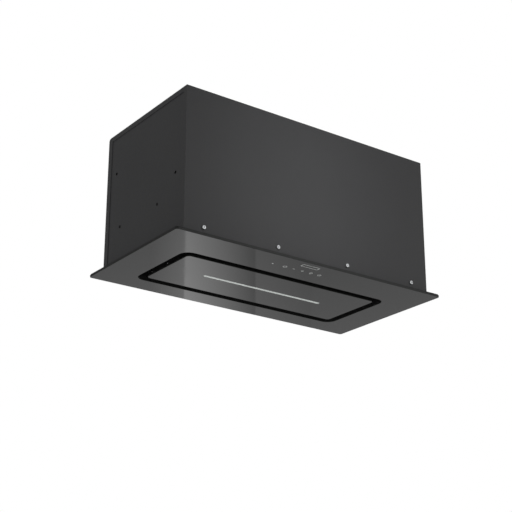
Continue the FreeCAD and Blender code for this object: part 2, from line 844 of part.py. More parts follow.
def filter_rail():
    """Angle on the suction box's rear wall that the filters' tabs rest on."""
    half = opening_length / 2 - opening_corner_radius - rail_end_gap
    ledge = box(-half, half, opening_rear - rail_reach, opening_rear, rail_top - rail_thickness, rail_top)
    foot = box(-half, half, opening_rear - rail_thickness, opening_rear, rail_top - rail_foot, rail_top)
    return fuse([ledge, foot])


# ---------------------------------------------------------------- touch control
def touch_cover():
    """Moulded cover over the touch board, open towards the glass."""
    top = base_top + touch_cover_height
    cover = touch_window(base_top, top, touch_cover_lip)
    inside = touch_window(base_top - past, top - touch_cover_wall, touch_cover_lip - touch_cover_wall)
    return cover.cut(inside)


def touch_board():
    """Circuit board on the glass with a row of capacitive key pads."""
    board = touch_window(glass_thickness, glass_thickness + touch_board_thickness, -hole_clearance)
    top = glass_thickness + touch_board_thickness
    pads = [box(x - key_pad / 2, x + key_pad / 2, key_height - key_pad / 2, key_height + key_pad / 2,
                top, top + key_pad_thickness)
            for x in [key_first + i * key_pitch for i in range(key_count)]]
    chip = box(touch_centre_x, touch_centre_x + touch_chip, touch_centre_y + touch_chip,
               touch_centre_y + 2 * touch_chip, top, top + touch_chip_height)
    hole = cylinder_z(receiver_radius + hole_clearance, glass_thickness - past, top + past,
                      receiver_x, receiver_y)
    return fuse([board, chip] + pads).cut(hole)


def signal_receiver():
    """Domed infrared receiver that looks down through the glass."""
    body = cylinder_z(receiver_radius, glass_thickness, glass_thickness + receiver_height,
                      receiver_x, receiver_y)
    rim = [edge for edge in body.Edges if edge.Closed and edge.CenterOfMass.z > glass_thickness + 1]
    return body.makeChamfer(receiver_chamfer, rim)


# ---------------------------------------------------------------- blower
def spiral_edges(wall):
    """Outline of the scroll in the plane x = 0: three quarter arcs of growing radius, then the throat.

    wall 0 gives the inside, wall > 0 the outside of a scroll of that wall thickness.
    """
    half = scroll_growth / 2
    centres = [V(0, axis_y - half, axis_z - half), V(0, axis_y + half, axis_z - half),
               V(0, axis_y + half, axis_z + half)]
    radii = [spiral_radius + wall, spiral_radius + scroll_growth + wall,
             spiral_radius + 2 * scroll_growth + wall]
    front = throat_front - wall
    tongue = math.acos((front - centres[0].y) / radii[0])

    def point(index, angle):
        centre, radius = centres[index], radii[index]
        return V(0, centre.y + radius * math.cos(angle), centre.z + radius * math.sin(angle))

    def arc(index, start, end):
        middle = (start + end) / 2
        return Part.Arc(point(index, start), point(index, middle), point(index, end)).toShape()

    rear = point(2, 2 * math.pi)
    tip = point(0, tongue)
    top_rear, top_front = V(0, rear.y, under_top), V(0, front, under_top)
    return [arc(0, tongue, math.pi), arc(1, math.pi, 1.5 * math.pi), arc(2, 1.5 * math.pi, 2 * math.pi),
            Part.makeLine(rear, top_rear), Part.makeLine(top_rear, top_front), Part.makeLine(top_front, tip)]


def scroll_half():
    """Left half of the scroll: the spiral wall with half of the throat's lip, and the inlet's side wall."""
    outside = yz_prism(spiral_edges(scroll_wall), -scroll_inner_x, 0)
    lip = box(-scroll_inner_x, 0, throat_front - scroll_wall - throat_lip,
              throat_rear + scroll_wall + throat_lip, under_top - scroll_wall, under_top)
    spiral = fuse([outside, lip]).cut(yz_prism(spiral_edges(0), -scroll_inner_x - past, past))
    side = yz_prism(spiral_edges(scroll_wall), -scroll_outer_x, -scroll_inner_x)
    inlet = cylinder_x(inlet_radius, -scroll_outer_x - past, 0, axis_y, axis_z)
    return Part.makeCompound([spiral, side.cut(inlet)])


def inlet_ring():
    """Bell mouth on the side wall, turned about the blower axis."""
    seat = -scroll_outer_x
    mouth = seat - inlet_lip
    inner, crest, outer = inlet_radius, inlet_radius + inlet_width / 2, inlet_radius + inlet_width
    outline = [V(seat, inner, 0), V(seat, outer, 0), V(seat - inlet_seat, outer, 0), V(mouth, crest, 0),
               V(seat - inlet_throat_depth, inner + inlet_throat_flare, 0)]
    ring = Part.Face(Part.makePolygon(outline + outline[:1])).revolve(V(0, 0, 0), X_AXIS, 360)
    ring.translate(V(0, axis_y, axis_z))
    return ring


def blade(x0, x1, start):
    """Forward-leaning blade along X with a flat face and a bowed back, start being its angle at the root."""
    def rim_point(radius, angle):
        return V(0, axis_y + radius * math.cos(angle), axis_z + radius * math.sin(angle))

    root, tip = rim_point(blade_inner, start), rim_point(wheel_radius, start + math.radians(blade_lean))
    back = X_AXIS.cross((tip - root).normalize())
    crown = (root + tip) / 2 + back * (blade_thickness + blade_bow)
    root_back, tip_back = root + back * blade_thickness, tip + back * blade_thickness
    edges = [Part.makeLine(root, tip), Part.makeLine(tip, tip_back),
             Part.Arc(tip_back, crown, root_back).toShape(), Part.makeLine(root_back, root)]
    return yz_prism(edges, x0, x1)


def impeller_wheel():
    """Double-inlet wheel: a centre disc on its hub, two rows of blades set on the disc, and two end rings."""
    half = wheel_width / 2
    half_disc = wheel_disc / 2
    rim = wheel_radius + blade_thickness
    disc = cylinder_x(rim, -half_disc, half_disc, axis_y, axis_z)
    hub = cylinder_x(hub_radius, -hub_rear, hub_front + half_disc, axis_y, axis_z)
    bore = cylinder_x(shaft_radius, -hub_rear - past, hub_front + half_disc + past, axis_y, axis_z)
    pieces = [fuse([disc, hub]).cut(bore)]
    for x0 in (-half, half - wheel_ring_width):
        ring = cylinder_x(rim, x0, x0 + wheel_ring_width, axis_y, axis_z)
        pieces.append(ring.cut(cylinder_x(wheel_radius - wheel_ring, x0 - past, x0 + wheel_ring_width + past,
                                          axis_y, axis_z)))
    pitch = 2 * math.pi / blade_count
    inner_end = half - wheel_ring_width
    for i in range(blade_count):
        pieces.append(blade(-inner_end, -half_disc, i * pitch))
        pieces.append(blade(half_disc, inner_end, (i + 0.5) * pitch))
    return Part.makeCompound(pieces)


def motor_shaft():
    return cylinder_x(shaft_radius, -shaft_tail, -shaft_tail + shaft_length, axis_y, axis_z)


def motor_body():
    """Closed motor in the right-hand inlet: nose, case, mounting flange and rear cap, turned as one."""
    nose_end = motor_front + motor_nose
    flange_start = motor_rear - motor_flange_width
    cap_end = motor_rear + motor_cap_length
    outline = [(motor_front, 0), (motor_front, motor_nose_radius), (nose_end, motor_radius),
               (flange_start, motor_radius), (flange_start, motor_radius + motor_flange),
               (motor_rear, motor_radius + motor_flange), (motor_rear, motor_cap_radius),
               (cap_end, motor_cap_radius - motor_cap_taper), (cap_end, 0)]
    corners = [V(x, r, 0) for x, r in outline]
    case = Part.Face(Part.makePolygon(corners + corners[:1])).revolve(V(0, 0, 0), X_AXIS, 360)
    case.translate(V(0, axis_y, axis_z))
    bore_end = -shaft_tail + shaft_length + motor_bore_margin
    bore_radius = shaft_radius + running_clearance
    return case.cut(cylinder_x(bore_radius, motor_front - past, bore_end, axis_y, axis_z))


def motor_bracket():
    """Ring behind the motor's flange with arms that stand on the scroll's side wall."""
    x0, x1 = bracket_x, bracket_x + bracket_thickness
    ring_radius = motor_radius + bracket_ring
    foot_radius = inlet_radius + inlet_width + bracket_foot / 2 + bracket_foot_gap
    arms = [cylinder_x(ring_radius, x0, x1, axis_y, axis_z)]
    for i in range(bracket_arms):
        angle = math.radians(bracket_start) + 2 * math.pi * i / bracket_arms
        arm = box(x0, x1, 0, foot_radius + bracket_foot / 2, -bracket_arm_width / 2, bracket_arm_width / 2)
        foot = cylinder_x(bracket_foot / 2, scroll_outer_x, x1, foot_radius, 0)
        for piece in (arm, foot):
            piece.rotate(V(0, 0, 0), X_AXIS, math.degrees(angle))
            piece.translate(V(0, axis_y, axis_z))
            arms.append(piece)
    hole = cylinder_x(motor_cap_radius + 2 * hole_clearance, x0 - past, x1 + past, axis_y, axis_z)
    return fuse(arms).cut(hole)


def scroll_envelope():
    return yz_prism(spiral_edges(scroll_wall), -scroll_outer_x, scroll_outer_x)


def blower_hanger():
    """Angle under the top sheet, shaped to the scroll it carries."""
    y = axis_y - hanger_setback
    half = hanger_width / 2
    web = box(-half, half, y - hanger_thickness, y, axis_z + hanger_low, under_top)
    foot = box(-half, half, y - hanger_foot, y, under_top - hanger_thickness, under_top)
    return fuse([web, foot]).cut(scroll_envelope())


# ---------------------------------------------------------------- duct collar and flaps
def collar_screw_places():
    s = collar_screw_spread
    return [(x, collar_y + y) for x in (-s, s) for y in (-s, s)]


def collar_screw_holes():
    radius = collar_screw_radius + hole_clearance
    return Part.makeCompound([cylinder_z(radius, under_top - collar_screw_length, collar_base, x, y)
                              for x, y in collar_screw_places()])


def duct_collar():
    """Square plate on the top sheet with the round duct spigot, and a seat for the flaps inside it."""
    half = collar_plate / 2
    plate = rounded_plate(-half, half, collar_y - half, collar_y + half, housing_top, collar_base,
                          collar_corner_radius)
    spigot = cylinder_z(duct_radius, housing_top, collar_base + duct_height, 0, collar_y)
    bore = cylinder_z(duct_bore, housing_top - past, collar_base + duct_height + past, 0, collar_y)
    seat_top = collar_base + flap_seat_height
    seat = cylinder_z(duct_radius, seat_top - flap_seat_thickness, seat_top, 0, collar_y)
    seat = seat.cut(cylinder_z(duct_bore - flap_seat, seat_top - 2 * flap_seat_thickness, seat_top + past,
                               0, collar_y))
    pin_hole = cylinder_x(flap_pin_radius, -duct_radius - past, duct_radius + past, collar_y, flap_axis)
    body = fuse([fuse([plate, spigot]).cut(bore), seat])
    return body.cut(Part.makeCompound([pin_hole, collar_screw_holes()]))


def collar_screws():
    screws = []
    for x, y in collar_screw_places():
        head = cylinder_z(collar_screw_head, collar_base, collar_base + collar_screw_head_height, x, y)
        shank = cylinder_z(collar_screw_radius, collar_base - collar_screw_length, collar_base, x, y)
        screws.append(fuse([head, shank]))
    return Part.makeCompound(screws)


def flap_pin():
    return cylinder_x(flap_pin_radius, -duct_radius, duct_radius, collar_y, flap_axis)


def flap(knuckles):
    """Front half-round flap with two stiffening ribs, hung on the pin by knuckles at the given places."""
    top = flap_low + flap_thickness
    disc = cylinder_z(flap_radius, flap_low, top, 0, collar_y)
    side = box(-flap_radius - past, flap_radius + past, collar_y - flap_start, collar_y + flap_radius + past,
               flap_low - past, top + past)
    pieces = [disc.cut(side)]
    rib_end = collar_y - flap_radius * flap_rib_reach
    for x in (-flap_rib_spread, flap_rib_spread):
        pieces.append(box(x - flap_rib_width / 2, x + flap_rib_width / 2, rib_end,
                          collar_y - flap_rib_start, flap_low, top + flap_rib_height))
    for x in knuckles:
        x0, x1 = x - flap_knuckle_length / 2, x + flap_knuckle_length / 2
        pieces.append(cylinder_x(flap_knuckle_radius, x0, x1, collar_y, flap_axis))
        pieces.append(box(x0, x1, collar_y - flap_rib_start, collar_y, flap_low, top))
    bore = cylinder_x(flap_pin_radius + running_clearance, -flap_radius, flap_radius, collar_y, flap_axis)
    return fuse(pieces).cut(bore)


def knuckle_places():
    """Four places along the pin: the front flap takes the first and third, the rear flap the others."""
    return spread(flap_knuckle_count, flap_knuckle_length + flap_knuckle_gap)


def front_flap():
    return flap(knuckle_places()[0::2])


def rear_flap():
    return flap([-x for x in knuckle_places()[1::2]]).rotate(V(0, collar_y, 0), Z_AXIS, 180)


# ---------------------------------------------------------------- electrical parts
def control_span():
    x1 = inner_x - control_side_gap
    return x1 - control_length, x1, control_centre - control_depth / 2, control_centre + control_depth / 2


def control_box():
    """Folded steel tray for the control board, open at the top under its lid."""
    x0, x1, y0, y1 = control_span()
    top = shelf_top + control_height
    w = control_wall
    inside = box(x0 + w, x1 - w, y0 + w, y1 - w, shelf_top + w, top + past)
    return box(x0, x1, y0, y1, shelf_top, top).cut(inside)


def control_lid():
    x0, x1, y0, y1 = control_span()
    top = shelf_top + control_height
    c, w = control_lid_clearance, control_wall
    lid = box(x0 - c - w, x1 + c + w, y0 - c - w, y1 + c + w, top - control_lid_lip, top + w)
    return lid.cut(box(x0 - c, x1 + c, y0 - c, y1 + c, top - control_lid_lip - past, top))


def block(x, y, z, size):
    """A component of the given size, standing on a board."""
    return box(x, x + size[0], y, y + size[1], z, z + size[2])


def control_board():
    """Main board on four posts, with its transformer, relays and connectors."""
    x0, x1, y0, y1 = [v + s * (control_wall + board_margin) for v, s in zip(control_span(), (1, -1, 1, -1))]
    floor = shelf_top + control_wall
    low = floor + board_standoff
    top = low + board_thickness
    post = board_margin / 2
    posts = [cylinder_z(post, floor, low, x, y)
             for x in (x0 + post, x1 - post) for y in (y0 + post, y1 - post)]
    transformer = block(x0 + transformer_inset, y0 + transformer_inset, top, transformer_size)
    relays = [block(x1 - relay_inset - relay_size[0], y0 + relay_inset + i * relay_pitch, top, relay_size)
              for i in range(board_row)]
    plugs = [block(x0 + plug_inset + i * plug_pitch, y1 - plug_setback - plug_size[1], top, plug_size)
             for i in range(board_row)]
    return fuse([box(x0, x1, y0, y1, low, top), transformer] + posts + relays + plugs)


def terminal_block():
    """Mains terminals on the shelf beside the control box."""
    x0, x1, y0, y1 = control_span()
    centre = x1 - terminal_length / 2
    front = y1 + terminal_gap
    top = shelf_top + terminal_height
    body = box(centre - terminal_length / 2, centre + terminal_length / 2, front, front + terminal_depth,
               shelf_top, top)
    holes = []
    for x in spread(terminal_ways, terminal_length / terminal_ways):
        holes.append(cylinder_y(terminal_wire_radius, front - past, front + terminal_depth + past, centre + x,
                                shelf_top + terminal_height / 3))
        holes.append(cylinder_z(terminal_screw_radius, top - terminal_screw_depth, top + past, centre + x,
                                front + terminal_depth / 2))
    return body.cut(Part.makeCompound(holes))


def run_capacitor():
    """Motor capacitor standing on the shelf, its two tabs up."""
    x = control_span()[0] - capacitor_gap - capacitor_radius
    top = shelf_top + capacitor_height
    can = cylinder_z(capacitor_radius, shelf_top, top, x, control_centre)
    rim = [edge for edge in can.Edges if edge.Closed and edge.CenterOfMass.z > shelf_top + 1]
    can = can.makeChamfer(capacitor_chamfer, rim)
    thickness, width, height = capacitor_tab_size
    tabs = [box(x + s * capacitor_tab - thickness / 2, x + s * capacitor_tab + thickness / 2,
                control_centre - width / 2, control_centre + width / 2, top - thickness, top + height)
            for s in (-1, 1)]
    return fuse([can] + tabs)


def led_driver():
    """Light supply on the shelf at the left, with a screw ear at each end."""
    x0 = -inner_x + control_side_gap
    x1 = x0 + driver_length
    y0, y1 = control_centre - driver_depth / 2, control_centre + driver_depth / 2
    body = box(x0 + driver_ear, x1 - driver_ear, y0, y1, shelf_top, shelf_top + driver_height)
    upper = [edge for edge in body.Edges if edge.BoundBox.ZMin > shelf_top + 1]
    body = body.makeFillet(driver_corner_radius, upper)
    ears = box(x0, x1, y0, y1, shelf_top, shelf_top + driver_ear_thickness)
    holes = [cylinder_z(driver_hole_radius, shelf_top - past, shelf_top + driver_ear_thickness + past,
                        x, control_centre)
             for x in (x0 + driver_ear / 2, x1 - driver_ear / 2)]
    return fuse([body, ears]).cut(Part.makeCompound(holes))


def grommet_centre():
    x0, x1, y0, y1 = control_span()
    return (x0 + x1) / 2, (y0 + y1) / 2


def grommet_hole():
    x, y = grommet_centre()
    return cylinder_z(grommet_neck, under_top - past, housing_top + past, x, y)


def cable_grommet():
    """Rubber grommet in the top sheet for the supply cable."""
    x, y = grommet_centre()
    outline = [(grommet_bore, under_top - grommet_skirt), (grommet_neck, under_top - grommet_skirt),
               (grommet_radius, under_top), (grommet_neck, under_top), (grommet_neck, housing_top),
               (grommet_radius, housing_top), (grommet_radius - grommet_taper, housing_top + grommet_lip),
               (grommet_bore, housing_top + grommet_lip)]
    corners = [V(r, 0, z) for r, z in outline]
    ring = Part.Face(Part.makePolygon(corners + corners[:1])).revolve(V(0, 0, 0), Z_AXIS, 360)
    ring.translate(V(x, y, 0))
    return ring


# ---------------------------------------------------------------- all pieces
def pair(name, left_or_right, shape):
    """Both hands of a piece that was drawn on the given side."""
    other = {"left": "right", "right": "left"}[left_or_right]
    return {name + "_" + left_or_right: shape, name + "_" + other: mirrored(shape)}


def all_parts():
    parts = {
        "glass_frame": glass_frame(), "bottom_frame": bottom_frame(), "suction_box": suction_box(),
        "front_panel": front_panel(), "rear_top_shell": rear_top_shell(),
        "front_screws": wall_screws(-1), "rear_screws": wall_screws(1),
        "filter_shelf": filter_shelf(), "shelf_rivets": shelf_rivets(), "filter_rail": filter_rail(),
        "touch_cover": touch_cover(), "touch_board": touch_board(), "signal_receiver": signal_receiver(),
        "control_box": control_box(), "control_lid": control_lid(), "control_board": control_board(),
        "terminal_block": terminal_block(), "run_capacitor": run_capacitor(), "led_driver": led_driver(),
        "cable_grommet": cable_grommet(),
        "motor_body": motor_body(), "motor_bracket": motor_bracket(), "motor_shaft": motor_shaft(),
        "impeller_wheel": impeller_wheel(),
        "blower_hanger": blower_hanger(),
        "duct_collar": duct_collar(), "collar_screws": collar_screws(), "flap_pin": flap_pin(),
        "front_flap": front_flap(), "rear_flap": rear_flap(),
        "panel_glass": panel_glass(), "panel_tray": panel_tray(), "led_lens": led_lens(),
        "led_profile": led_profile(), "led_board": led_board(),
    }
    parts.update(pair("side_panel", "left", side_panel()))
    parts.update(pair("scroll", "left", scroll_half()))
    parts.update(pair("inlet_ring", "left", inlet_ring()))
    parts.update(pair("hinge_bracket", "right", hinge_bracket()))
    parts.update(pair("hinge_yoke", "right", hinge_yoke()))
    parts.update(pair("hinge_pin", "right", hinge_pin()))
    parts.update(pair("magnetic_catch", "right", magnetic_catch()))
    parts.update(pair("striker", "right", striker()))
    parts.update(pair("filter_frame", "right", filter_frame()))
    parts.update(pair("filter_mesh", "right", filter_mesh()))
    parts.update(pair("filter_latch", "right", filter_latch()))
    parts.update(pair("filter_keeper", "right", filter_keeper()))
    return parts


os.makedirs("parts", exist_ok=True)
for node, shape in all_parts().items():
    shape.exportStep("parts/" + node + ".step")
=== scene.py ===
# %% [markdown]
# # A ceiling range hood, seen from below
# The real hood is a folded steel box that disappears in the ceiling. All that shows in the kitchen is a
# black glass flange with a centre panel that drops down on two hinges, and the air is drawn in through the
# gap round it. The shape comes from a CAD frame that is loaded first and never changed. It could all be
# modelled again here, but then the hinges and the sizes would drift apart from the real ones. So Blender
# adds what CAD leaves plain: finishes, cross recesses, rivet domes, the strands of the grease mesh, printed
# touch marks, light and the camera.

# %% Load the frame
import math

import bmesh
import bpy
from mathutils import Matrix, Vector


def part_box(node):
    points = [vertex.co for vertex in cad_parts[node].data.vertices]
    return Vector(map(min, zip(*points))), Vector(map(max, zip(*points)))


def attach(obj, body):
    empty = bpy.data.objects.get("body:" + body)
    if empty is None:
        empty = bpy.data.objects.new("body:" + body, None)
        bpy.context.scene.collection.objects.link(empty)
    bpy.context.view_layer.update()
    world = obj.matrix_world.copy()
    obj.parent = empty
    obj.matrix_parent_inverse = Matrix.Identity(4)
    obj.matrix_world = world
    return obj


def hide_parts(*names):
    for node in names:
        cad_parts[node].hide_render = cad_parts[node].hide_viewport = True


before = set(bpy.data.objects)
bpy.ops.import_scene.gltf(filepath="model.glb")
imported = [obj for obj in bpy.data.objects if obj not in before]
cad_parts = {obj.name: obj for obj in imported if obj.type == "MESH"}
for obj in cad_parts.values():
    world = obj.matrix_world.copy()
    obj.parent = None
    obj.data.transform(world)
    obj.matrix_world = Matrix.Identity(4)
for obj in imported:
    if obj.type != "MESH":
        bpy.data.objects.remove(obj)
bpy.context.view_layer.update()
mm = 0.001

# %% [markdown]
# ## The camera
# The picture was taken from the front left and from below, through a long lens, because the edges hardly
# converge. A long lens from far away could be guessed by eye. Here its place and length were fitted to the
# edges of the flange and the housing, so that they fall within about a pixel of where the photograph has
# them, and the lens needs no shift.

# %% Camera below the front left corner
view_azimuth, view_elevation, camera_roll = map(math.radians, (-35.859, -20.775, 0.123))
camera_distance, aim_right, aim_up = 2.376, -0.023, 0.0596
focal_length = 88.67

back = Vector((math.sin(view_azimuth) * math.cos(view_elevation),
               -math.cos(view_azimuth) * math.cos(view_elevation), math.sin(view_elevation)))
level = (-back).cross(Vector((0, 0, 1))).normalized()
upright = level.cross(-back)
right = math.cos(camera_roll) * level + math.sin(camera_roll) * upright
up = math.cos(camera_roll) * upright - math.sin(camera_roll) * level
camera_place = back * camera_distance + right * aim_right + up * aim_up

bpy.ops.object.camera_add()
camera = bpy.context.object
camera.name = "photo_camera"
camera.data.lens = focal_length
camera.data.sensor_width = 36.0
camera.data.clip_end = 60.0
camera.matrix_world = Matrix.Translation(camera_place) @ Matrix((right, up, back)).transposed().to_4x4()
bpy.context.scene.camera = camera
print("camera stands at", [round(v, 3) for v in camera_place])

# %% [markdown]
# ## Helpers for materials
# Colours are written as the hex values that a paint program shows. A shader wants linear light, so one
# function converts them. Another adds a node to a material with its settings, its numbers and its links in
# one call, which keeps each finish short enough to read. The other two start a finish and link it to its
# shader. A Mix node has inputs of the same name for numbers and for colours. They are told apart by their
# place in the node, and each place has a name here.

# %% Colour and node helpers
share, number_a, number_b, colour_a, colour_b, mixed = 0, 2, 3, 6, 7, 2


def linear(hex_colour):
    """Turns a hex value such as '#3c3c3d' into the linear numbers that a shader takes."""
    channels = [int(hex_colour[i:i + 2], 16) / 255 for i in (1, 3, 5)]
    return [c / 12.92 if c <= 0.04045 else ((c + 0.055) / 1.055) ** 2.4 for c in channels] + [1.0]


def add(tree, kind, inputs=None, **settings):
    """Adds a node. An input is a number, a colour, or an output socket that is linked to it."""
    new = tree.nodes.new(kind)
    for name, value in settings.items():
        setattr(new, name, value)
    for name, value in (inputs or {}).items():
        if isinstance(value, bpy.types.NodeSocket):
            tree.links.new(value, new.inputs[name])
        else:
            new.inputs[name].default_value = value
    return new


def finish(name):
    """A new material with its shader, the object's own coordinates, and the tree that they are in."""
    material = bpy.data.materials.new(name)
    material.use_nodes = True
    tree = material.node_tree
    shader = tree.nodes["Principled BSDF"]
    place = tree.nodes.new("ShaderNodeTexCoord")
    return material, tree, shader, place


def connect(tree, shader, colour, roughness, bump=None):
    """Links the outputs that a finish has worked out to its shader."""
    tree.links.new(colour, shader.inputs["Base Color"])
    tree.links.new(roughness, shader.inputs["Roughness"])
    if bump:
        tree.links.new(bump, shader.inputs["Normal"])


# %% [markdown]
# ## Black enamelled glass
# The flange and the panel are 4 mm toughened float glass with black ceramic enamel fired on the back. The
# eye sees almost no colour of its own, only a mirror image of the room, very slightly uneven from wiping.
# The ground edges are greyer and dull. A plain black gloss would look like plastic, so the smudges vary the
# roughness and the edges are told apart by the direction that the surface faces.

# %% Glass
black_glass, tree, shader, place = finish("black_enamelled_glass")
smudges = add(tree, "ShaderNodeTexNoise", {"Vector": place.outputs["Object"], "Scale": 14.0, "Detail": 5.0})
enamel = add(tree, "ShaderNodeMix", {share: smudges.outputs["Fac"], colour_a: linear("#0a0b0b"),
                                     colour_b: linear("#121313")}, data_type="RGBA")
wiped = add(tree, "ShaderNodeMapRange", {"Value": smudges.outputs["Fac"], "From Min": 0.35, "From Max": 0.75,
                                         "To Min": 0.03, "To Max": 0.07})
flat_above, ground_roughness, polished_shine, ground_shine = 0.95, 0.45, 0.5, 0.3
facing = add(tree, "ShaderNodeSeparateXYZ", {0: place.outputs["Normal"]})
flatness = add(tree, "ShaderNodeMath", {0: facing.outputs["Z"]}, operation="ABSOLUTE")
edge = add(tree, "ShaderNodeMath", {0: flatness.outputs[0], 1: flat_above}, operation="LESS_THAN")
glass_colour = add(tree, "ShaderNodeMix", {share: edge.outputs[0], colour_a: enamel.outputs[mixed],
                                           colour_b: linear("#151615")}, data_type="RGBA")
glass_roughness = add(tree, "ShaderNodeMix", {share: edge.outputs[0], number_a: wiped.outputs[0],
                                              number_b: ground_roughness})
glass_shine = add(tree, "ShaderNodeMapRange", {"Value": edge.outputs[0], "To Min": polished_shine,
                                               "To Max": ground_shine})
connect(tree, shader, glass_colour.outputs[mixed], glass_roughness.outputs[0])
tree.links.new(glass_shine.outputs[0], shader.inputs["Specular IOR Level"])
shader.inputs["IOR"].default_value = 1.5
print("made", black_glass.name)

# %% [markdown]
# ## Powder coat on sheet steel
# The housing is baked powder paint, dark grey on the outside. Powder melts into fine low bumps called
# orange peel, about 1 mm apart, that make it satin. At this distance 1 mm is smaller than a pixel, so the
# bumps are drawn 3 mm apart and shallow. A slow change of shade over some 200 mm keeps the large walls from
# looking flat. The black coat inside is the same paint in another colour. The side wall rivets get a
# near-black that is partly their black oxide and partly painted shade. All three are as fine and dull, so
# one function makes all three.

# %% Powder coat outside and inside, and black oxide with painted shade
def powder_coat(name, dark, light, roughness, grain):
    """A dull coat between two shades, with grain bumps per metre."""
    material, tree, shader, place = finish(name)
    slow = add(tree, "ShaderNodeTexNoise", {"Vector": place.outputs["Object"], "Scale": 5.0, "Detail": 2.0})
    shade = add(tree, "ShaderNodeMix", {share: slow.outputs["Fac"], colour_a: linear(dark),
                                        colour_b: linear(light)}, data_type="RGBA")
    peel = add(tree, "ShaderNodeTexNoise", {"Vector": place.outputs["Object"], "Scale": grain, "Detail": 3.0})
    gloss = add(tree, "ShaderNodeMapRange", {"Value": peel.outputs["Fac"], "To Min": roughness - 0.07,
                                             "To Max": roughness + 0.07})
    bump = add(tree, "ShaderNodeBump",
               {"Height": peel.outputs["Fac"], "Strength": 0.25, "Distance": 0.3 * mm})
    connect(tree, shader, shade.outputs[mixed], gloss.outputs[0], bump.outputs[0])
    shader.inputs["IOR"].default_value = 1.38
    return material


grey_coat = powder_coat("grey_powder_coat", "#2b2b2c", "#313132", 0.55, 330.0)
black_coat = powder_coat("black_powder_coat", "#0e0e0f", "#141415", 0.6, 330.0)
# The rivets' near-black is partly black oxide and partly painted shade.
rivet_black_and_shade = powder_coat("oxide_black_with_painted_shade", "#030303", "#070707", 0.75, 600.0)
print("made", grey_coat.name, black_coat.name, "and", rivet_black_and_shade.name)

# %% [markdown]
# ## Bare and plated metals
# Screws, pins and strikers are bright zinc plated, which is a metal mirror dulled by fine scratches. The
# filter shelf and the control box are hot-dip galvanised sheet, and its zinc freezes in crystals some 8 mm
# wide, called spangle, that differ a little in shade. The filter rims and the light profile are brushed and
# anodised aluminium, where the brush leaves long fine lines. Rolled foil and the ground motor shaft have
# such lines too, so one function makes all three. Each could be one grey metal, but these patterns are how
# the eye tells them apart.

# %% Zinc plating and spangle
zinc_plate, tree, shader, place = finish("bright_zinc_plating")
scratches = add(tree, "ShaderNodeTexNoise",
                {"Vector": place.outputs["Object"], "Scale": 900.0, "Detail": 2.0})
plated = add(tree, "ShaderNodeMix", {share: scratches.outputs["Fac"], colour_a: linear("#b9bbbd"),
                                     colour_b: linear("#d9dbdc")}, data_type="RGBA")
dulled = add(tree, "ShaderNodeMapRange", {"Value": scratches.outputs["Fac"], "To Min": 0.16, "To Max": 0.34})
connect(tree, shader, plated.outputs[mixed], dulled.outputs[0])
shader.inputs["Metallic"].default_value = 1.0

galvanised, tree, shader, place = finish("galvanised_sheet")
spangle = add(tree, "ShaderNodeTexVoronoi", {"Vector": place.outputs["Object"], "Scale": 125.0})
crystal = add(tree, "ShaderNodeSeparateXYZ", {0: spangle.outputs["Color"]})
sheet_colour = add(tree, "ShaderNodeMix", {share: crystal.outputs["X"], colour_a: linear("#8f9396"),
                                           colour_b: linear("#b4b7b9")}, data_type="RGBA")
sheet_gloss = add(tree, "ShaderNodeMapRange", {"Value": crystal.outputs["Y"], "To Min": 0.32, "To Max": 0.5})
connect(tree, shader, sheet_colour.outputs[mixed], sheet_gloss.outputs[0])
shader.inputs["Metallic"].default_value = 1.0
print("made", zinc_plate.name, "and", galvanised.name)

# %% Brushed aluminium, mill aluminium and ground steel
def brushed_metal(name, dark, light, roughness, lines):
    """A metal whose brush lines run along X, the given number of them per metre across."""
    material, tree, shader, place = finish(name)
    drawn_out = add(tree, "ShaderNodeMapping",
                    {"Vector": place.outputs["Object"], "Scale": (6.0, lines, lines)})
    brush = add(tree, "ShaderNodeTexNoise", {"Vector": drawn_out.outputs[0], "Scale": 1.0, "Detail": 3.0})
    colour = add(tree, "ShaderNodeMix", {share: brush.outputs["Fac"], colour_a: linear(dark),
                                         colour_b: linear(light)}, data_type="RGBA")
    gloss = add(tree, "ShaderNodeMapRange", {"Value": brush.outputs["Fac"], "To Min": roughness - 0.08,
                                             "To Max": roughness + 0.08})
    bump = add(tree, "ShaderNodeBump",
               {"Height": brush.outputs["Fac"], "Strength": 0.15, "Distance": 0.1 * mm})
    connect(tree, shader, colour.outputs[mixed], gloss.outputs[0], bump.outputs[0])
    shader.inputs["Metallic"].default_value = 1.0
    return material


anodised = brushed_metal("brushed_anodised_aluminium", "#a9abac", "#c9cbcc", 0.36, 900.0)
mill_aluminium = brushed_metal("rolled_aluminium_foil", "#b4b6b7", "#d2d4d5", 0.3, 300.0)
ground_steel = brushed_metal("ground_shaft_steel", "#9d9fa1", "#bcbec0", 0.22, 1500.0)
print("made", anodised.name, mill_aluminium.name, ground_steel.name)

# %% [markdown]
# ## Plastics, rubber and enamel
# The blower scroll and wheel are moulded in glass-filled polypropylene, dull and slightly cloudy. The
# collar, flaps, latches and covers are black ABS from a spark-eroded mould, which leaves an even fine
# grain. The terminals are white polyamide, the cable grommet is rubber, the motor has stoved enamel, and a
# window of smoked clear epoxy covers the receiver. Each could have a finish of its own, but they differ
# only in shade, gloss and grain, so one function serves them all. The mould's grain is drawn some 1.5 mm
# wide so that it can be seen.

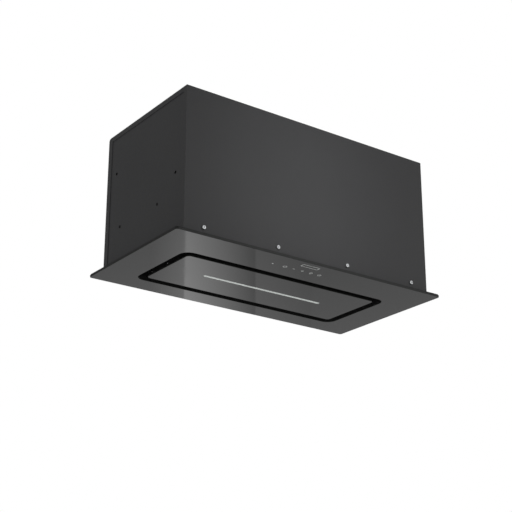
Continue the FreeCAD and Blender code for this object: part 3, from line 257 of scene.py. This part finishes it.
# %% Moulded plastics, rubber and enamel
def moulded(name, dark, light, roughness, grain, ior):
    """Moulded plastic or rubber: two near shades in soft clouds, under an eroded mould's grain."""
    material, tree, shader, place = finish(name)
    cloud = add(tree, "ShaderNodeTexNoise", {"Vector": place.outputs["Object"], "Scale": 30.0, "Detail": 4.0})
    colour = add(tree, "ShaderNodeMix", {share: cloud.outputs["Fac"], colour_a: linear(dark),
                                         colour_b: linear(light)}, data_type="RGBA")
    pits = add(tree, "ShaderNodeTexVoronoi", {"Vector": place.outputs["Object"], "Scale": grain})
    gloss = add(tree, "ShaderNodeMapRange", {"Value": pits.outputs["Distance"], "To Min": roughness - 0.05,
                                             "To Max": roughness + 0.08})
    bump = add(tree, "ShaderNodeBump",
               {"Height": pits.outputs["Distance"], "Strength": 0.2, "Distance": 0.15 * mm})
    connect(tree, shader, colour.outputs[mixed], gloss.outputs[0], bump.outputs[0])
    shader.inputs["IOR"].default_value = ior
    return material


black_abs = moulded("black_moulded_abs", "#121213", "#1a1a1b", 0.5, 650.0, 1.53)
dark_polypropylene = moulded("filled_polypropylene", "#1c1d1e", "#26272a", 0.6, 400.0, 1.49)
white_polyamide = moulded("white_polyamide", "#d9d9d2", "#e6e6e0", 0.42, 650.0, 1.53)
black_rubber = moulded("black_rubber", "#101010", "#191918", 0.78, 500.0, 1.52)
motor_enamel = moulded("stoved_motor_enamel", "#4a4d50", "#565a5d", 0.38, 250.0, 1.5)
smoked_epoxy = moulded("smoked_clear_epoxy", "#140608", "#1e090c", 0.12, 900.0, 1.55)
print("made", black_abs.name, dark_polypropylene.name, white_polyamide.name, black_rubber.name)

# %% [markdown]
# ## The light strip's lens
# The strip is opal acrylic: white pigment scatters the light inside, and its face is matt. Switched off it
# looks like frosted white glass with a breath of green. Faint lines along it come from the extrusion that
# it was cut from. Here light that goes in and comes out again would cost time for such a thin strip, so a
# matt pale surface with those lines stands for it.

# %% Opal lens
opal_lens, tree, shader, place = finish("opal_acrylic")
drawn_out = add(tree, "ShaderNodeMapping",
                {"Vector": place.outputs["Object"], "Scale": (8.0, 1200.0, 1200.0)})
drawn_lines = add(tree, "ShaderNodeTexNoise",
                  {"Vector": drawn_out.outputs[0], "Scale": 1.0, "Detail": 2.0})
opal = add(tree, "ShaderNodeMix", {share: drawn_lines.outputs["Fac"], colour_a: linear("#d4dad8"),
                                   colour_b: linear("#e6ebe9")}, data_type="RGBA")
matt = add(tree, "ShaderNodeMapRange", {"Value": drawn_lines.outputs["Fac"], "To Min": 0.38, "To Max": 0.5})
connect(tree, shader, opal.outputs[mixed], matt.outputs[0])
shader.inputs["IOR"].default_value = 1.49
print("made", opal_lens.name)

# %% [markdown]
# ## Circuit boards
# A board is green or white solder resist over copper tracks, which show through as lighter or darker
# straight lines on a 2.5 mm grid. Tracks could be drawn one by one, but the boards are covered when the
# hood is shut, so a brick pattern with long bricks, which gives such runs and their turns, is enough.

# %% Solder resist over tracks
def circuit_board(name, resist, track):
    """Solder resist of one colour over tracks that show through in another."""
    material, tree, shader, place = finish(name)
    tracks = add(tree, "ShaderNodeTexBrick",
                 {"Vector": place.outputs["Object"], "Color1": linear(resist), "Color2": linear(resist),
                  "Mortar": linear(track), "Scale": 1.0, "Mortar Size": 0.35 * mm, "Mortar Smooth": 0.1,
                  "Brick Width": 14 * mm, "Row Height": 2.5 * mm})
    raised = add(tree, "ShaderNodeBump",
                 {"Height": tracks.outputs["Fac"], "Strength": 0.3, "Distance": 0.05 * mm})
    gloss = add(tree, "ShaderNodeMapRange", {"Value": tracks.outputs["Fac"], "To Min": 0.3, "To Max": 0.22})
    connect(tree, shader, tracks.outputs["Color"], gloss.outputs[0], raised.outputs[0])
    return material


green_board = circuit_board("green_solder_resist", "#12432a", "#2b6b44")
white_board = circuit_board("white_solder_resist", "#dcdcd6", "#bfbfb6")
print("made", green_board.name, "and", white_board.name)

# %% [markdown]
# ## Which part has which finish
# Each CAD part keeps its shape and only gets a better surface. A table from finish to parts is easier to
# check than one line per part, and the last line says whether a part was forgotten.

# %% Dress the frame's parts
dressing = {
    black_glass: ["glass_frame", "panel_glass"],
    grey_coat: ["front_panel", "rear_top_shell", "side_panel_left", "side_panel_right"],
    black_coat: ["bottom_frame", "suction_box", "panel_tray", "filter_rail", "filter_keeper_left",
                 "filter_keeper_right", "hinge_bracket_left", "hinge_bracket_right", "hinge_yoke_left",
                 "hinge_yoke_right"],
    rivet_black_and_shade: ["shelf_rivets"],
    zinc_plate: ["front_screws", "rear_screws", "collar_screws", "hinge_pin_left", "hinge_pin_right",
                 "striker_left", "striker_right", "flap_pin"],
    galvanised: ["filter_shelf", "control_box", "control_lid", "motor_bracket", "blower_hanger"],
    anodised: ["filter_frame_left", "filter_frame_right", "led_profile"],
    mill_aluminium: ["filter_mesh_left", "filter_mesh_right", "run_capacitor"],
    ground_steel: ["motor_shaft"],
    black_abs: ["duct_collar", "front_flap", "rear_flap", "touch_cover", "filter_latch_left",
                "filter_latch_right", "magnetic_catch_left", "magnetic_catch_right"],
    dark_polypropylene: ["scroll_left", "scroll_right", "inlet_ring_left", "inlet_ring_right",
                         "impeller_wheel"],
    white_polyamide: ["terminal_block", "led_driver"],
    black_rubber: ["cable_grommet"],
    motor_enamel: ["motor_body"],
    smoked_epoxy: ["signal_receiver"],
    opal_lens: ["led_lens"],
    green_board: ["touch_board", "control_board"],
    white_board: ["led_board"],
}
for surface, names in dressing.items():
    for name in names:
        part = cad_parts[name]
        part.data.materials.clear()
        part.data.materials.append(surface)
undressed = set(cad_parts) - {name for names in dressing.values() for name in names}
print("dressed", len(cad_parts) - len(undressed), "parts; left over:", sorted(undressed))

# %% [markdown]
# ## Helpers for modelling by hand
# Blender's operators work on whatever is selected, and the freshly loaded frame is all selected. So each
# new piece starts by deselecting everything. In edit mode, faces or edges are then picked by where they are
# or which way they face, as a modeller would click them. Other helpers join and copy pieces, and the last
# one brings a finished piece into the scene.

# %% Begin a piece and pick on it
def begin(name, stretch=(1, 1, 1)):
    """Names the primitive that was just added, stretches it, and puts its place in its mesh."""
    piece = bpy.context.object
    piece.name = piece.data.name = name
    piece.scale = stretch
    bpy.ops.object.transform_apply(location=True, rotation=True, scale=True)
    return piece


def pick(piece, kind, test):
    """In edit mode, selects only those edges or faces of the piece that pass the test."""
    bpy.ops.mesh.select_mode(type=kind)
    bpy.ops.mesh.select_all(action="DESELECT")
    mesh = bmesh.from_edit_mesh(piece.data)
    for element in mesh.edges if kind == "EDGE" else mesh.faces:
        element.select_set(bool(test(element)))
    bmesh.update_edit_mesh(piece.data)


# %% Join, copy and complete
def join(pieces, name):
    """Joins pieces into the first of them, which gets the name."""
    bpy.ops.object.select_all(action="DESELECT")
    for piece in pieces:
        piece.select_set(True)
    bpy.context.view_layer.objects.active = pieces[0]
    bpy.ops.object.join()
    pieces[0].name = pieces[0].data.name = name
    return pieces[0]


def copies(piece, placings):
    """Turns a piece into one object with a copy of its mesh at each placing."""
    name, made = piece.name, []
    for placing in placings:
        twin = piece.copy()
        twin.data = piece.data.copy()
        twin.data.transform(placing)
        bpy.context.collection.objects.link(twin)
        made.append(twin)
    bpy.data.objects.remove(piece)
    return join(made, name)


def complete(piece, surface, body, smooth_below=30.0):
    """Recalculates normals, shades it, gives it its finish, and lets it ride on its body."""
    bpy.ops.object.select_all(action="DESELECT")
    piece.select_set(True)
    bpy.context.view_layer.objects.active = piece
    bpy.ops.object.mode_set(mode="EDIT")
    bpy.ops.mesh.select_all(action="SELECT")
    bpy.ops.mesh.normals_make_consistent(inside=False)
    bpy.ops.object.mode_set(mode="OBJECT")
    bpy.ops.object.shade_smooth_by_angle(angle=math.radians(smooth_below))
    piece.data.materials.clear()
    piece.data.materials.append(surface)
    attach(piece, body)
    print(piece.name, "has", len(piece.data.polygons), "faces and rides on", body)
    return piece


# %% [markdown]
# ## Pan-head screws
# Four zinc-plated M4 screws hold the front wall and four the rear wall, and four slightly smaller ones hold
# the duct collar. A pan head has a flat top that rolls over at the edge, and a cross recess for the driver.
# It could be turned as a profile with Spin, but a cylinder with its top edge bevelled in four steps gives
# the same dome faster. The recess is cut with a tapered cross by a Boolean modifier. One screw of each row
# is modelled, and then copied to the row's holes.

# %% One screw, standing on the point where its head rests
def combine(piece, operation, tool):
    """Applies a Boolean modifier to a piece with a second one as its tool, which is then removed."""
    change = piece.modifiers.new("combine", "BOOLEAN")
    change.operation, change.solver, change.object = operation, "EXACT", tool
    bpy.context.view_layer.objects.active = piece
    bpy.ops.object.modifier_apply(modifier="combine")
    bpy.data.objects.remove(tool)
    return piece


def crosshead_screw(name, head_radius, head_height, shank_radius, shank_length):
    """A pan head on its shank, the shank pointing down."""
    bpy.ops.object.select_all(action="DESELECT")
    bpy.ops.mesh.primitive_cylinder_add(vertices=32, radius=head_radius, depth=head_height,
                                        location=(0, 0, head_height / 2))
    screw = begin(name)
    bpy.ops.object.mode_set(mode="EDIT")
    pick(screw, "EDGE", lambda e: all(v.co.z > 0.9 * head_height for v in e.verts))
    bpy.ops.mesh.bevel(offset=0.62 * head_height, segments=4, profile=0.55)
    pick(screw, "FACE", lambda f: f.normal.z < -0.9)
    bpy.ops.mesh.inset(thickness=head_radius - shank_radius)
    bpy.ops.mesh.extrude_region_move(TRANSFORM_OT_translate={"value": (0, 0, -shank_length)})
    bpy.ops.object.mode_set(mode="OBJECT")
    return combine(screw, "DIFFERENCE", cross_recess(head_radius, head_height))


def cross_recess(head_radius, head_height):
    """A cross of two bars that narrow downwards, as a driver's tip does."""
    bars = []
    for turn in (0, 90):
        bpy.ops.object.select_all(action="DESELECT")
        bpy.ops.mesh.primitive_cube_add(size=1, location=(0, 0, 0.7 * head_height),
                                        rotation=(0, 0, math.radians(turn)))
        bar = begin("recess_bar", (1.25 * head_radius, 0.32 * head_radius, head_height))
        bpy.ops.object.mode_set(mode="EDIT")
        pick(bar, "FACE", lambda f: f.normal.z < -0.9)
        bpy.ops.transform.resize(value=(0.5, 0.5, 1.0))
        bpy.ops.object.mode_set(mode="OBJECT")
        bars.append(bar)
    return combine(bars[0], "UNION", bars[1])


# %% Screws of the front wall, the rear wall and the collar
head_radius, head_height, shank_radius, shank_length = 4 * mm, 2.4 * mm, 2 * mm, 8 * mm
row_low, row_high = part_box("front_screws")
screw_line, screw_pitch = (row_low.z + row_high.z) / 2, (row_high.x - row_low.x - 2 * head_radius) / 3
wall_face = -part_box("front_panel")[0].y
screw_turns = (12, 65, 31, 80)
for side, node, name in ((-1, "front_screws", "front_wall_screws"), (1, "rear_screws", "rear_wall_screws")):
    screw = crosshead_screw(name, head_radius, head_height, shank_radius, shank_length)
    outwards = Matrix.Rotation(math.radians(-90 * side), 4, "X")
    placings = [Matrix.Translation(((i - 1.5) * screw_pitch, side * wall_face, screw_line)) @ outwards
                @ Matrix.Rotation(math.radians(turn), 4, "Z") for i, turn in enumerate(screw_turns)]
    row = complete(copies(screw, placings), zinc_plate, "housing")
    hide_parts(node)

head_radius, head_height, shank_radius, shank_length = 3.8 * mm, 2.2 * mm, 1.9 * mm, 9 * mm
collar_low, collar_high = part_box("duct_collar")
collar_y = (collar_low.y + collar_high.y) / 2
plate_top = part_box("collar_screws")[1].z - head_height
screw_reach = 78
screw = crosshead_screw("collar_plate_screws", head_radius, head_height, shank_radius, shank_length)
# Each is turned by the sum of its two places, which leaves two of the four askew, as a driver does.
placings = [Matrix.Translation((x * mm, collar_y + y * mm, plate_top)) @ Matrix.Rotation(x + y, 4, "Z")
            for x in (-screw_reach, screw_reach) for y in (-screw_reach, screw_reach)]
row = complete(copies(screw, placings), zinc_plate, "housing")
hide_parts("collar_screws")

# %% [markdown]
# ## Blind rivets
# The filter shelf is riveted through the side walls. A blind rivet has a thin dome with a dimple where its
# mandrel broke off. Two smaller ones stand on each end of the panel's tray, where a bright point shows in
# the gap. The dome is again a cylinder with a bevelled edge, and the dimple is an inset face pushed in.

# %% One blind rivet
def blind_rivet(name, head_radius, head_height, shank_radius, shank_length):
    """A thin dome with a dimple, on its shank that points down."""
    bpy.ops.object.select_all(action="DESELECT")
    bpy.ops.mesh.primitive_cylinder_add(vertices=24, radius=head_radius, depth=head_height,
                                        location=(0, 0, head_height / 2))
    rivet = begin(name)
    bpy.ops.object.mode_set(mode="EDIT")
    pick(rivet, "EDGE", lambda e: all(v.co.z > 0.9 * head_height for v in e.verts))
    bpy.ops.mesh.bevel(offset=0.7 * head_height, segments=3, profile=0.6)
    pick(rivet, "FACE", lambda f: f.normal.z > 0.9 and f.calc_area() > head_radius ** 2)
    bpy.ops.mesh.inset(thickness=0.45 * head_radius)
    bpy.ops.mesh.inset(thickness=0.05 * head_radius)
    bpy.ops.transform.translate(value=(0, 0, -0.5 * head_height))
    pick(rivet, "FACE", lambda f: f.normal.z < -0.9)
    bpy.ops.mesh.inset(thickness=head_radius - shank_radius)
    bpy.ops.mesh.extrude_region_move(TRANSFORM_OT_translate={"value": (0, 0, -shank_length)})
    bpy.ops.object.mode_set(mode="OBJECT")
    return rivet


# %% Rivets on the side walls and on the tray's ends
def facing_side(side):
    """Turns a piece that stands upright to the left side (-1) or the right side (1)."""
    return Matrix.Rotation(math.radians(90 * side), 4, "Y")


head_radius, head_height, shank_radius, shank_length = 2.6 * mm, 0.8 * mm, 1.5 * mm, 4 * mm
side_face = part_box("side_panel_right")[1].x
rivet_low, rivet_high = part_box("shelf_rivets")
placings = [Matrix.Translation((side * side_face, y, (rivet_low.z + rivet_high.z) / 2)) @ facing_side(side)
            for side in (-1, 1) for y in (rivet_low.y + head_radius, rivet_high.y - head_radius)]
rivet = blind_rivet("side_wall_rivets", head_radius, head_height, shank_radius, shank_length)
# The side wall rivets take the near-black that is partly black oxide and partly painted shade.
rivets = complete(copies(rivet, placings), rivet_black_and_shade, "housing")
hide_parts("shelf_rivets")

head_radius, head_height, shank_radius, shank_length = 1.7 * mm, 0.8 * mm, 1 * mm, 1 * mm
tray_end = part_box("panel_tray")[1].x
rivet_height, rivet_places = 8 * mm, (17 * mm, 70 * mm)
placings = [Matrix.Translation((side * tray_end, y, rivet_height)) @ facing_side(side)
            for side in (-1, 1) for y in rivet_places]
rivet = blind_rivet("tray_end_rivets", head_radius, head_height, shank_radius, shank_length)
rivets = complete(copies(rivet, placings), zinc_plate, "panel")

# %% [markdown]
# ## Aluminium grease mesh
# A grease filter is filled with sheets of expanded aluminium: slit foil that is pulled open into slanted
# diamonds. Modelling every strand by hand would take days, and a bitmap would look flat from the side. So
# one diamond ring is made, its inner edge lifted to slant the strands, and two Array modifiers repeat it
# over the filter. Solidify gives the foil its thickness. Three such sheets, each turned or shifted against
# the last, lie on one another.

# %% One sheet of expanded foil
foil_thickness, foil_slant, strand_width = 0.25 * mm, 0.35 * mm, 0.75 * mm


def expanded_foil(name, low, high, long_way, short_way, height):
    """Diamonds that fill the rectangle from low to high at a height, their long way along X."""
    across, along = high.x - low.x, high.y - low.y
    columns, rows = int(across // long_way), int(along // short_way)
    step_x, step_y = across / columns, along / rows
    bpy.ops.object.select_all(action="DESELECT")
    bpy.ops.mesh.primitive_circle_add(vertices=4, radius=0.5, fill_type="NGON",
                                      location=(low.x + step_x / 2, low.y + step_y / 2, height))
    foil = begin(name, (step_x, step_y, 1))
    bpy.ops.object.mode_set(mode="EDIT")
    bpy.ops.mesh.select_mode(type="FACE")
    bpy.ops.mesh.select_all(action="SELECT")
    bpy.ops.mesh.inset(thickness=strand_width)
    bpy.ops.transform.translate(value=(0, 0, foil_slant))
    bpy.ops.mesh.delete(type="FACE")
    bpy.ops.object.mode_set(mode="OBJECT")
    for label, count, step in (("columns", columns, (step_x, 0, 0)), ("rows", rows, (0, step_y, 0))):
        repeat = foil.modifiers.new(label, "ARRAY")
        repeat.count, repeat.use_relative_offset, repeat.use_constant_offset = count, False, True
        repeat.constant_offset_displace = step
        bpy.ops.object.modifier_apply(modifier=label)
    thick = foil.modifiers.new("foil", "SOLIDIFY")
    thick.thickness, thick.offset = foil_thickness, 0
    bpy.ops.object.modifier_apply(modifier="foil")
    return foil


# %% Three sheets in each filter
diamonds = ((10 * mm, 6 * mm), (7 * mm, 9 * mm), (10 * mm, 6 * mm))
first_inset, more_inset, first_height, sheet_step = 0.2 * mm, 1.1 * mm, 0.3 * mm, 0.5 * mm
for hand in ("left", "right"):
    low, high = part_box("filter_mesh_" + hand)
    sheets = []
    for i, (long_way, short_way) in enumerate(diamonds):
        inset = Vector((1, 1, 0)) * (first_inset + i * more_inset)
        sheets.append(expanded_foil(f"foil_{hand}_{i}", low + inset, high - inset, long_way, short_way,
                                    low.z + first_height + i * sheet_step))
    mesh_piece = complete(join(sheets, "grease_mesh_" + hand), mill_aluminium, "filter_" + hand, 20.0)
    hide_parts("filter_mesh_" + hand)

# %% [markdown]
# ## Touch marks printed on the glass
# The keys do not move: a finger is sensed through the glass, and only small grey marks show where to press.
# From the left there are a bright status point, then on/off, slower, faster, light and timer, and a display
# window above. They are screen printed and a few hundredths of a millimetre thick. They could be painted in
# the glass shader, but thin pieces stay sharp and show up in any model that is made from this one.

# %% Printing ink and the basic marks
def screen_print(name, dark, light):
    """Printing ink with a fine unevenness from the screen."""
    material, tree, shader, place = finish(name)
    screen = add(tree, "ShaderNodeTexNoise",
                 {"Vector": place.outputs["Object"], "Scale": 2500.0, "Detail": 1.0})
    ink = add(tree, "ShaderNodeMix", {share: screen.outputs["Fac"], colour_a: linear(dark),
                                      colour_b: linear(light)}, data_type="RGBA")
    tree.links.new(ink.outputs[mixed], shader.inputs["Base Color"])
    shader.inputs["Roughness"].default_value = 0.5
    return material


print_ink = screen_print("grey_screen_print", "#a4a6a6", "#bcbebe")
bright_ink = screen_print("white_screen_print", "#dfe1e1", "#f0f1f1")
ink_depth = 0.03 * mm


def printed_ring(name, x, y, radius, line, corners=28):
    """A flat ring with its outer radius and the width of its line."""
    bpy.ops.object.select_all(action="DESELECT")
    bpy.ops.mesh.primitive_circle_add(vertices=corners, radius=radius, fill_type="NGON",
                                      location=(x, y, 0))
    mark = begin(name)
    bpy.ops.object.mode_set(mode="EDIT")
    bpy.ops.mesh.select_mode(type="FACE")
    bpy.ops.mesh.select_all(action="SELECT")
    bpy.ops.mesh.inset(thickness=line)
    bpy.ops.mesh.delete(type="FACE")
    bpy.ops.object.mode_set(mode="OBJECT")
    return mark


def printed_bar(name, x, y, length, width, turn=0.0):
    """A short stroke about its own centre, turned by some degrees."""
    bpy.ops.object.select_all(action="DESELECT")
    bpy.ops.mesh.primitive_plane_add(size=1, location=(x, y, 0), rotation=(0, 0, math.radians(turn)))
    stroke = begin(name, (length, width, 1))
    bpy.ops.object.mode_set(mode="EDIT")
    bpy.ops.mesh.select_all(action="SELECT")
    bpy.ops.mesh.subdivide(number_cuts=1)
    bpy.ops.object.mode_set(mode="OBJECT")
    return stroke


def printed(name, strokes, surface):
    """Joins strokes into one mark, and prints it on the underside of the glass."""
    mark = join(strokes, name)
    depth = mark.modifiers.new("ink", "SOLIDIFY")
    depth.thickness, depth.offset = ink_depth, -1
    bpy.ops.object.modifier_apply(modifier="ink")
    complete(mark, surface, "housing")


# %% Status point, five keys and the display window
key_line, key_first, key_pitch, bar_width = -109.5 * mm, -43.3 * mm, 19.7 * mm, 1.5 * mm
on_off, slower, faster, light, timer = [key_first + i * key_pitch for i in range(5)]
printed("status_point", [printed_ring("dot", -71 * mm, key_line, 1.6 * mm, 1.4 * mm, 16)], bright_ink)
printed("key_on_off", [printed_ring("ring", on_off, key_line, 4.2 * mm, bar_width),
                       printed_bar("bar", on_off, key_line - 3.2 * mm, 4.2 * mm, bar_width, 90)], print_ink)
printed("key_slower", [printed_bar("bar", slower, key_line, 5.0 * mm, bar_width)], print_ink)
printed("key_faster", [printed_bar("bar", faster, key_line, 6.6 * mm, bar_width),
                       printed_bar("upper", faster, key_line - 2.1 * mm, 2.7 * mm, bar_width, 90),
                       printed_bar("lower", faster, key_line + 2.1 * mm, 2.7 * mm, bar_width, 90)], print_ink)
printed("key_light", [printed_ring("bulb", light, key_line - 0.8 * mm, 3.2 * mm, bar_width),
                      printed_bar("cap", light, key_line + 3.4 * mm, 3.0 * mm, bar_width)], print_ink)
printed("key_timer", [printed_ring("face", timer, key_line, 3.7 * mm, bar_width),
                      printed_bar("hand", timer, key_line - 0.9 * mm, 1.8 * mm, 1.0 * mm, 90)], print_ink)

window_left, window_right, window_near, window_far = -23 * mm, 14 * mm, -138.6 * mm, -129.7 * mm
window_line = 1.7 * mm
window_x, window_y = (window_left + window_right) / 2, (window_near + window_far) / 2
window_length, window_depth = window_right - window_left, window_far - window_near
printed("display_window", [
    printed_bar("near", window_x, window_near, window_length, window_line),
    printed_bar("far", window_x, window_far, window_length, window_line),
    printed_bar("left", window_left, window_y, window_depth - window_line, window_line, 90),
    printed_bar("right", window_right, window_y, window_depth - window_line, window_line, 90)], print_ink)

# %% [markdown]
# ## Floor, background and lamps
# The hood hangs as in a kitchen, 2.5 m above a plain pale floor. Behind it all is pure white, so the
# camera, mirrors and glass see a white world, while only a softer white lights the object. Large lamps
# light every side, and a narrow tall one close by gives the front wall its brighter middle. A brighter
# world could do without lamps, but then the walls would all have the same shade.

# %% Floor
bpy.ops.object.select_all(action="DESELECT")
bpy.ops.mesh.primitive_plane_add(size=24, location=(0, 0, -2.5))
floor = begin("floor")
floor_paint, tree, shader, place = finish("pale_floor")
grain = add(tree, "ShaderNodeTexNoise", {"Vector": place.outputs["Object"], "Scale": 3.0, "Detail": 3.0})
pale = add(tree, "ShaderNodeMix", {share: grain.outputs["Fac"], colour_a: linear("#ededec"),
                                   colour_b: linear("#f3f3f2")}, data_type="RGBA")
tree.links.new(pale.outputs[mixed], shader.inputs["Base Color"])
shader.inputs["Roughness"].default_value = 0.9
floor.data.materials.append(floor_paint)

# %% White background
world = bpy.data.worlds.new("studio")
bpy.context.scene.world = world
world.use_nodes = True
tree = world.node_tree
seen = tree.nodes["Background"]
seen.inputs["Strength"].default_value = 1.0
seen.inputs["Color"].default_value = (1, 1, 1, 1)
soft_white = add(tree, "ShaderNodeBackground", {"Color": linear("#fbfbfa"), "Strength": 0.5})
ray = tree.nodes.new("ShaderNodeLightPath")
seen_or_mirrored = add(tree, "ShaderNodeMath",
                       {0: ray.outputs["Is Camera Ray"], 1: ray.outputs["Is Glossy Ray"]},
                       operation="MAXIMUM")
direct = add(tree, "ShaderNodeMath",
             {0: seen_or_mirrored.outputs[0], 1: ray.outputs["Is Transmission Ray"]}, operation="MAXIMUM")
background = add(tree, "ShaderNodeMixShader",
                 {0: direct.outputs[0], 1: soft_white.outputs[0], 2: seen.outputs[0]})
tree.links.new(background.outputs[0], tree.nodes["World Output"].inputs["Surface"])

# %% Lamps
def soft_lamp(name, place, target, size, watts, height=None):
    """A square or upright area lamp, turned towards a target, that neither the eye nor a mirror sees."""
    bpy.ops.object.light_add(type="AREA", location=place)
    lamp = bpy.context.object
    lamp.name = name
    lamp.data.shape = "RECTANGLE"
    lamp.data.size, lamp.data.size_y, lamp.data.energy = size, height or size, watts
    lamp.visible_glossy = lamp.visible_camera = False
    lamp.rotation_euler = (Vector(target) - Vector(place)).to_track_quat("-Z", "Y").to_euler()


soft_lamp("front_lamp", (2.2, -2.0, 0.7), (0, 0, 0.15), 1.8, 24)
soft_lamp("top_lamp", (-0.6, 0.4, 2.6), (0, 0, 0.3), 2.4, 35)
soft_lamp("side_lamp", (-2.6, 0.3, 0.9), (-0.28, 0, 0.15), 1.4, 16)
soft_lamp("rear_lamp", (1.2, 3.0, 1.5), (0, 0, 0.2), 2.0, 60)
soft_lamp("wall_lamp", (-0.01, -0.38, 0.17), (-0.01, 0, 0.17), 0.06, 0.6, 0.34)
print("lamps and world are set")

# %% [markdown]
# ## Cards that only mirrors see
# Black glass shows little but what it mirrors. In a studio, tall cards stand behind the hood for that, and
# here they give the glass its grey image with one lighter stripe between two upright edges. A dim half
# sphere above does the same for paint and metal, and a bright card in it makes the screw heads shine. The
# stripe could be painted on the glass, but then it would stay in place when the panel swings or the camera
# moves.

# %% Helpers for the cards
def glow_in_mirrors(piece, axis, start, end, start_level, end_level):
    """Lets a piece glow in mirrors alone, its level changing between two distances along an axis."""
    material, tree, shader, place = finish(piece.name + "_glow")
    distance = add(tree, "ShaderNodeVectorMath", {0: place.outputs["Object"], 1: axis},
                   operation="DOT_PRODUCT")
    level = add(tree, "ShaderNodeMapRange", {"Value": distance.outputs["Value"], "From Min": start,
                                             "From Max": end, "To Min": start_level, "To Max": end_level})
    emission = add(tree, "ShaderNodeEmission", {"Strength": level.outputs[0]})
    tree.links.new(emission.outputs[0], tree.nodes["Material Output"].inputs["Surface"])
    piece.data.materials.append(material)
    piece.visible_camera = piece.visible_diffuse = piece.visible_shadow = piece.visible_transmission = False


def mirror_card(name, left, right, left_level, right_level, low=-2.4, high=-0.02):
    """An upright card between two points on the floor plan, its glow changing from left to right."""
    start, end = Vector((*left, 0)), Vector((*right, 0))
    bpy.ops.object.select_all(action="DESELECT")
    bpy.ops.mesh.primitive_plane_add(size=1)
    card = begin(name)
    corners = [(start, low), (end, low), (start, high), (end, high)]
    for vertex, (corner, z) in zip(card.data.vertices, corners):
        vertex.co = (corner.x, corner.y, z)
    along = (end - start).normalized()
    glow_in_mirrors(card, along, start.dot(along), end.dot(along), left_level, right_level)


def card_point(column):
    """Where the upright plane through a pixel column of the picture stands, at the cards' distance."""
    picture_width = 512
    sideways = (column - picture_width / 2) / (picture_width * focal_length / camera.data.sensor_width)
    direction = -back + sideways * right
    flat = Vector((direction.x, direction.y)).normalized()
    return (camera_place.x + flat.x * card_reach, camera_place.y + flat.y * card_reach)


# %% Dim half sphere and cards
bpy.ops.object.select_all(action="DESELECT")
bpy.ops.mesh.primitive_uv_sphere_add(segments=48, ring_count=24, radius=9)
shroud = begin("dim_shroud")
bpy.ops.object.mode_set(mode="EDIT")
pick(shroud, "FACE", lambda f: f.calc_center_median().z < 0)
bpy.ops.mesh.delete(type="FACE")
bpy.ops.object.mode_set(mode="OBJECT")
front_right = Vector((0.58, -0.81, 0))
glow_in_mirrors(shroud, front_right, -6.0, 6.0, 0.25, 0.5)

card_reach = 4.5
for name, left_column, right_column, left_level, right_level in (
        ("left_card", -60, 150, 0.36, 0.47), ("rising_card", 150, 185, 0.46, 0.7),
        ("stripe_card", 185, 255.5, 1.12, 0.36), ("right_card", 255.5, 310, 0.5, 0.38),
        ("far_right_card", 310, 620, 0.4, 0.42)):
    mirror_card(name, card_point(left_column), card_point(right_column), left_level, right_level)
mirror_card("screw_card", (1.05, -2.85), (2.2, -2.0), 1.6, 1.6, 0.5, 1.7)
print("cards stand", card_reach, "m from the camera")

# %% [markdown]
# ## View settings
# Standard keeps each colour as it is written.

# %% Finish
bpy.context.scene.view_settings.view_transform = "Standard"
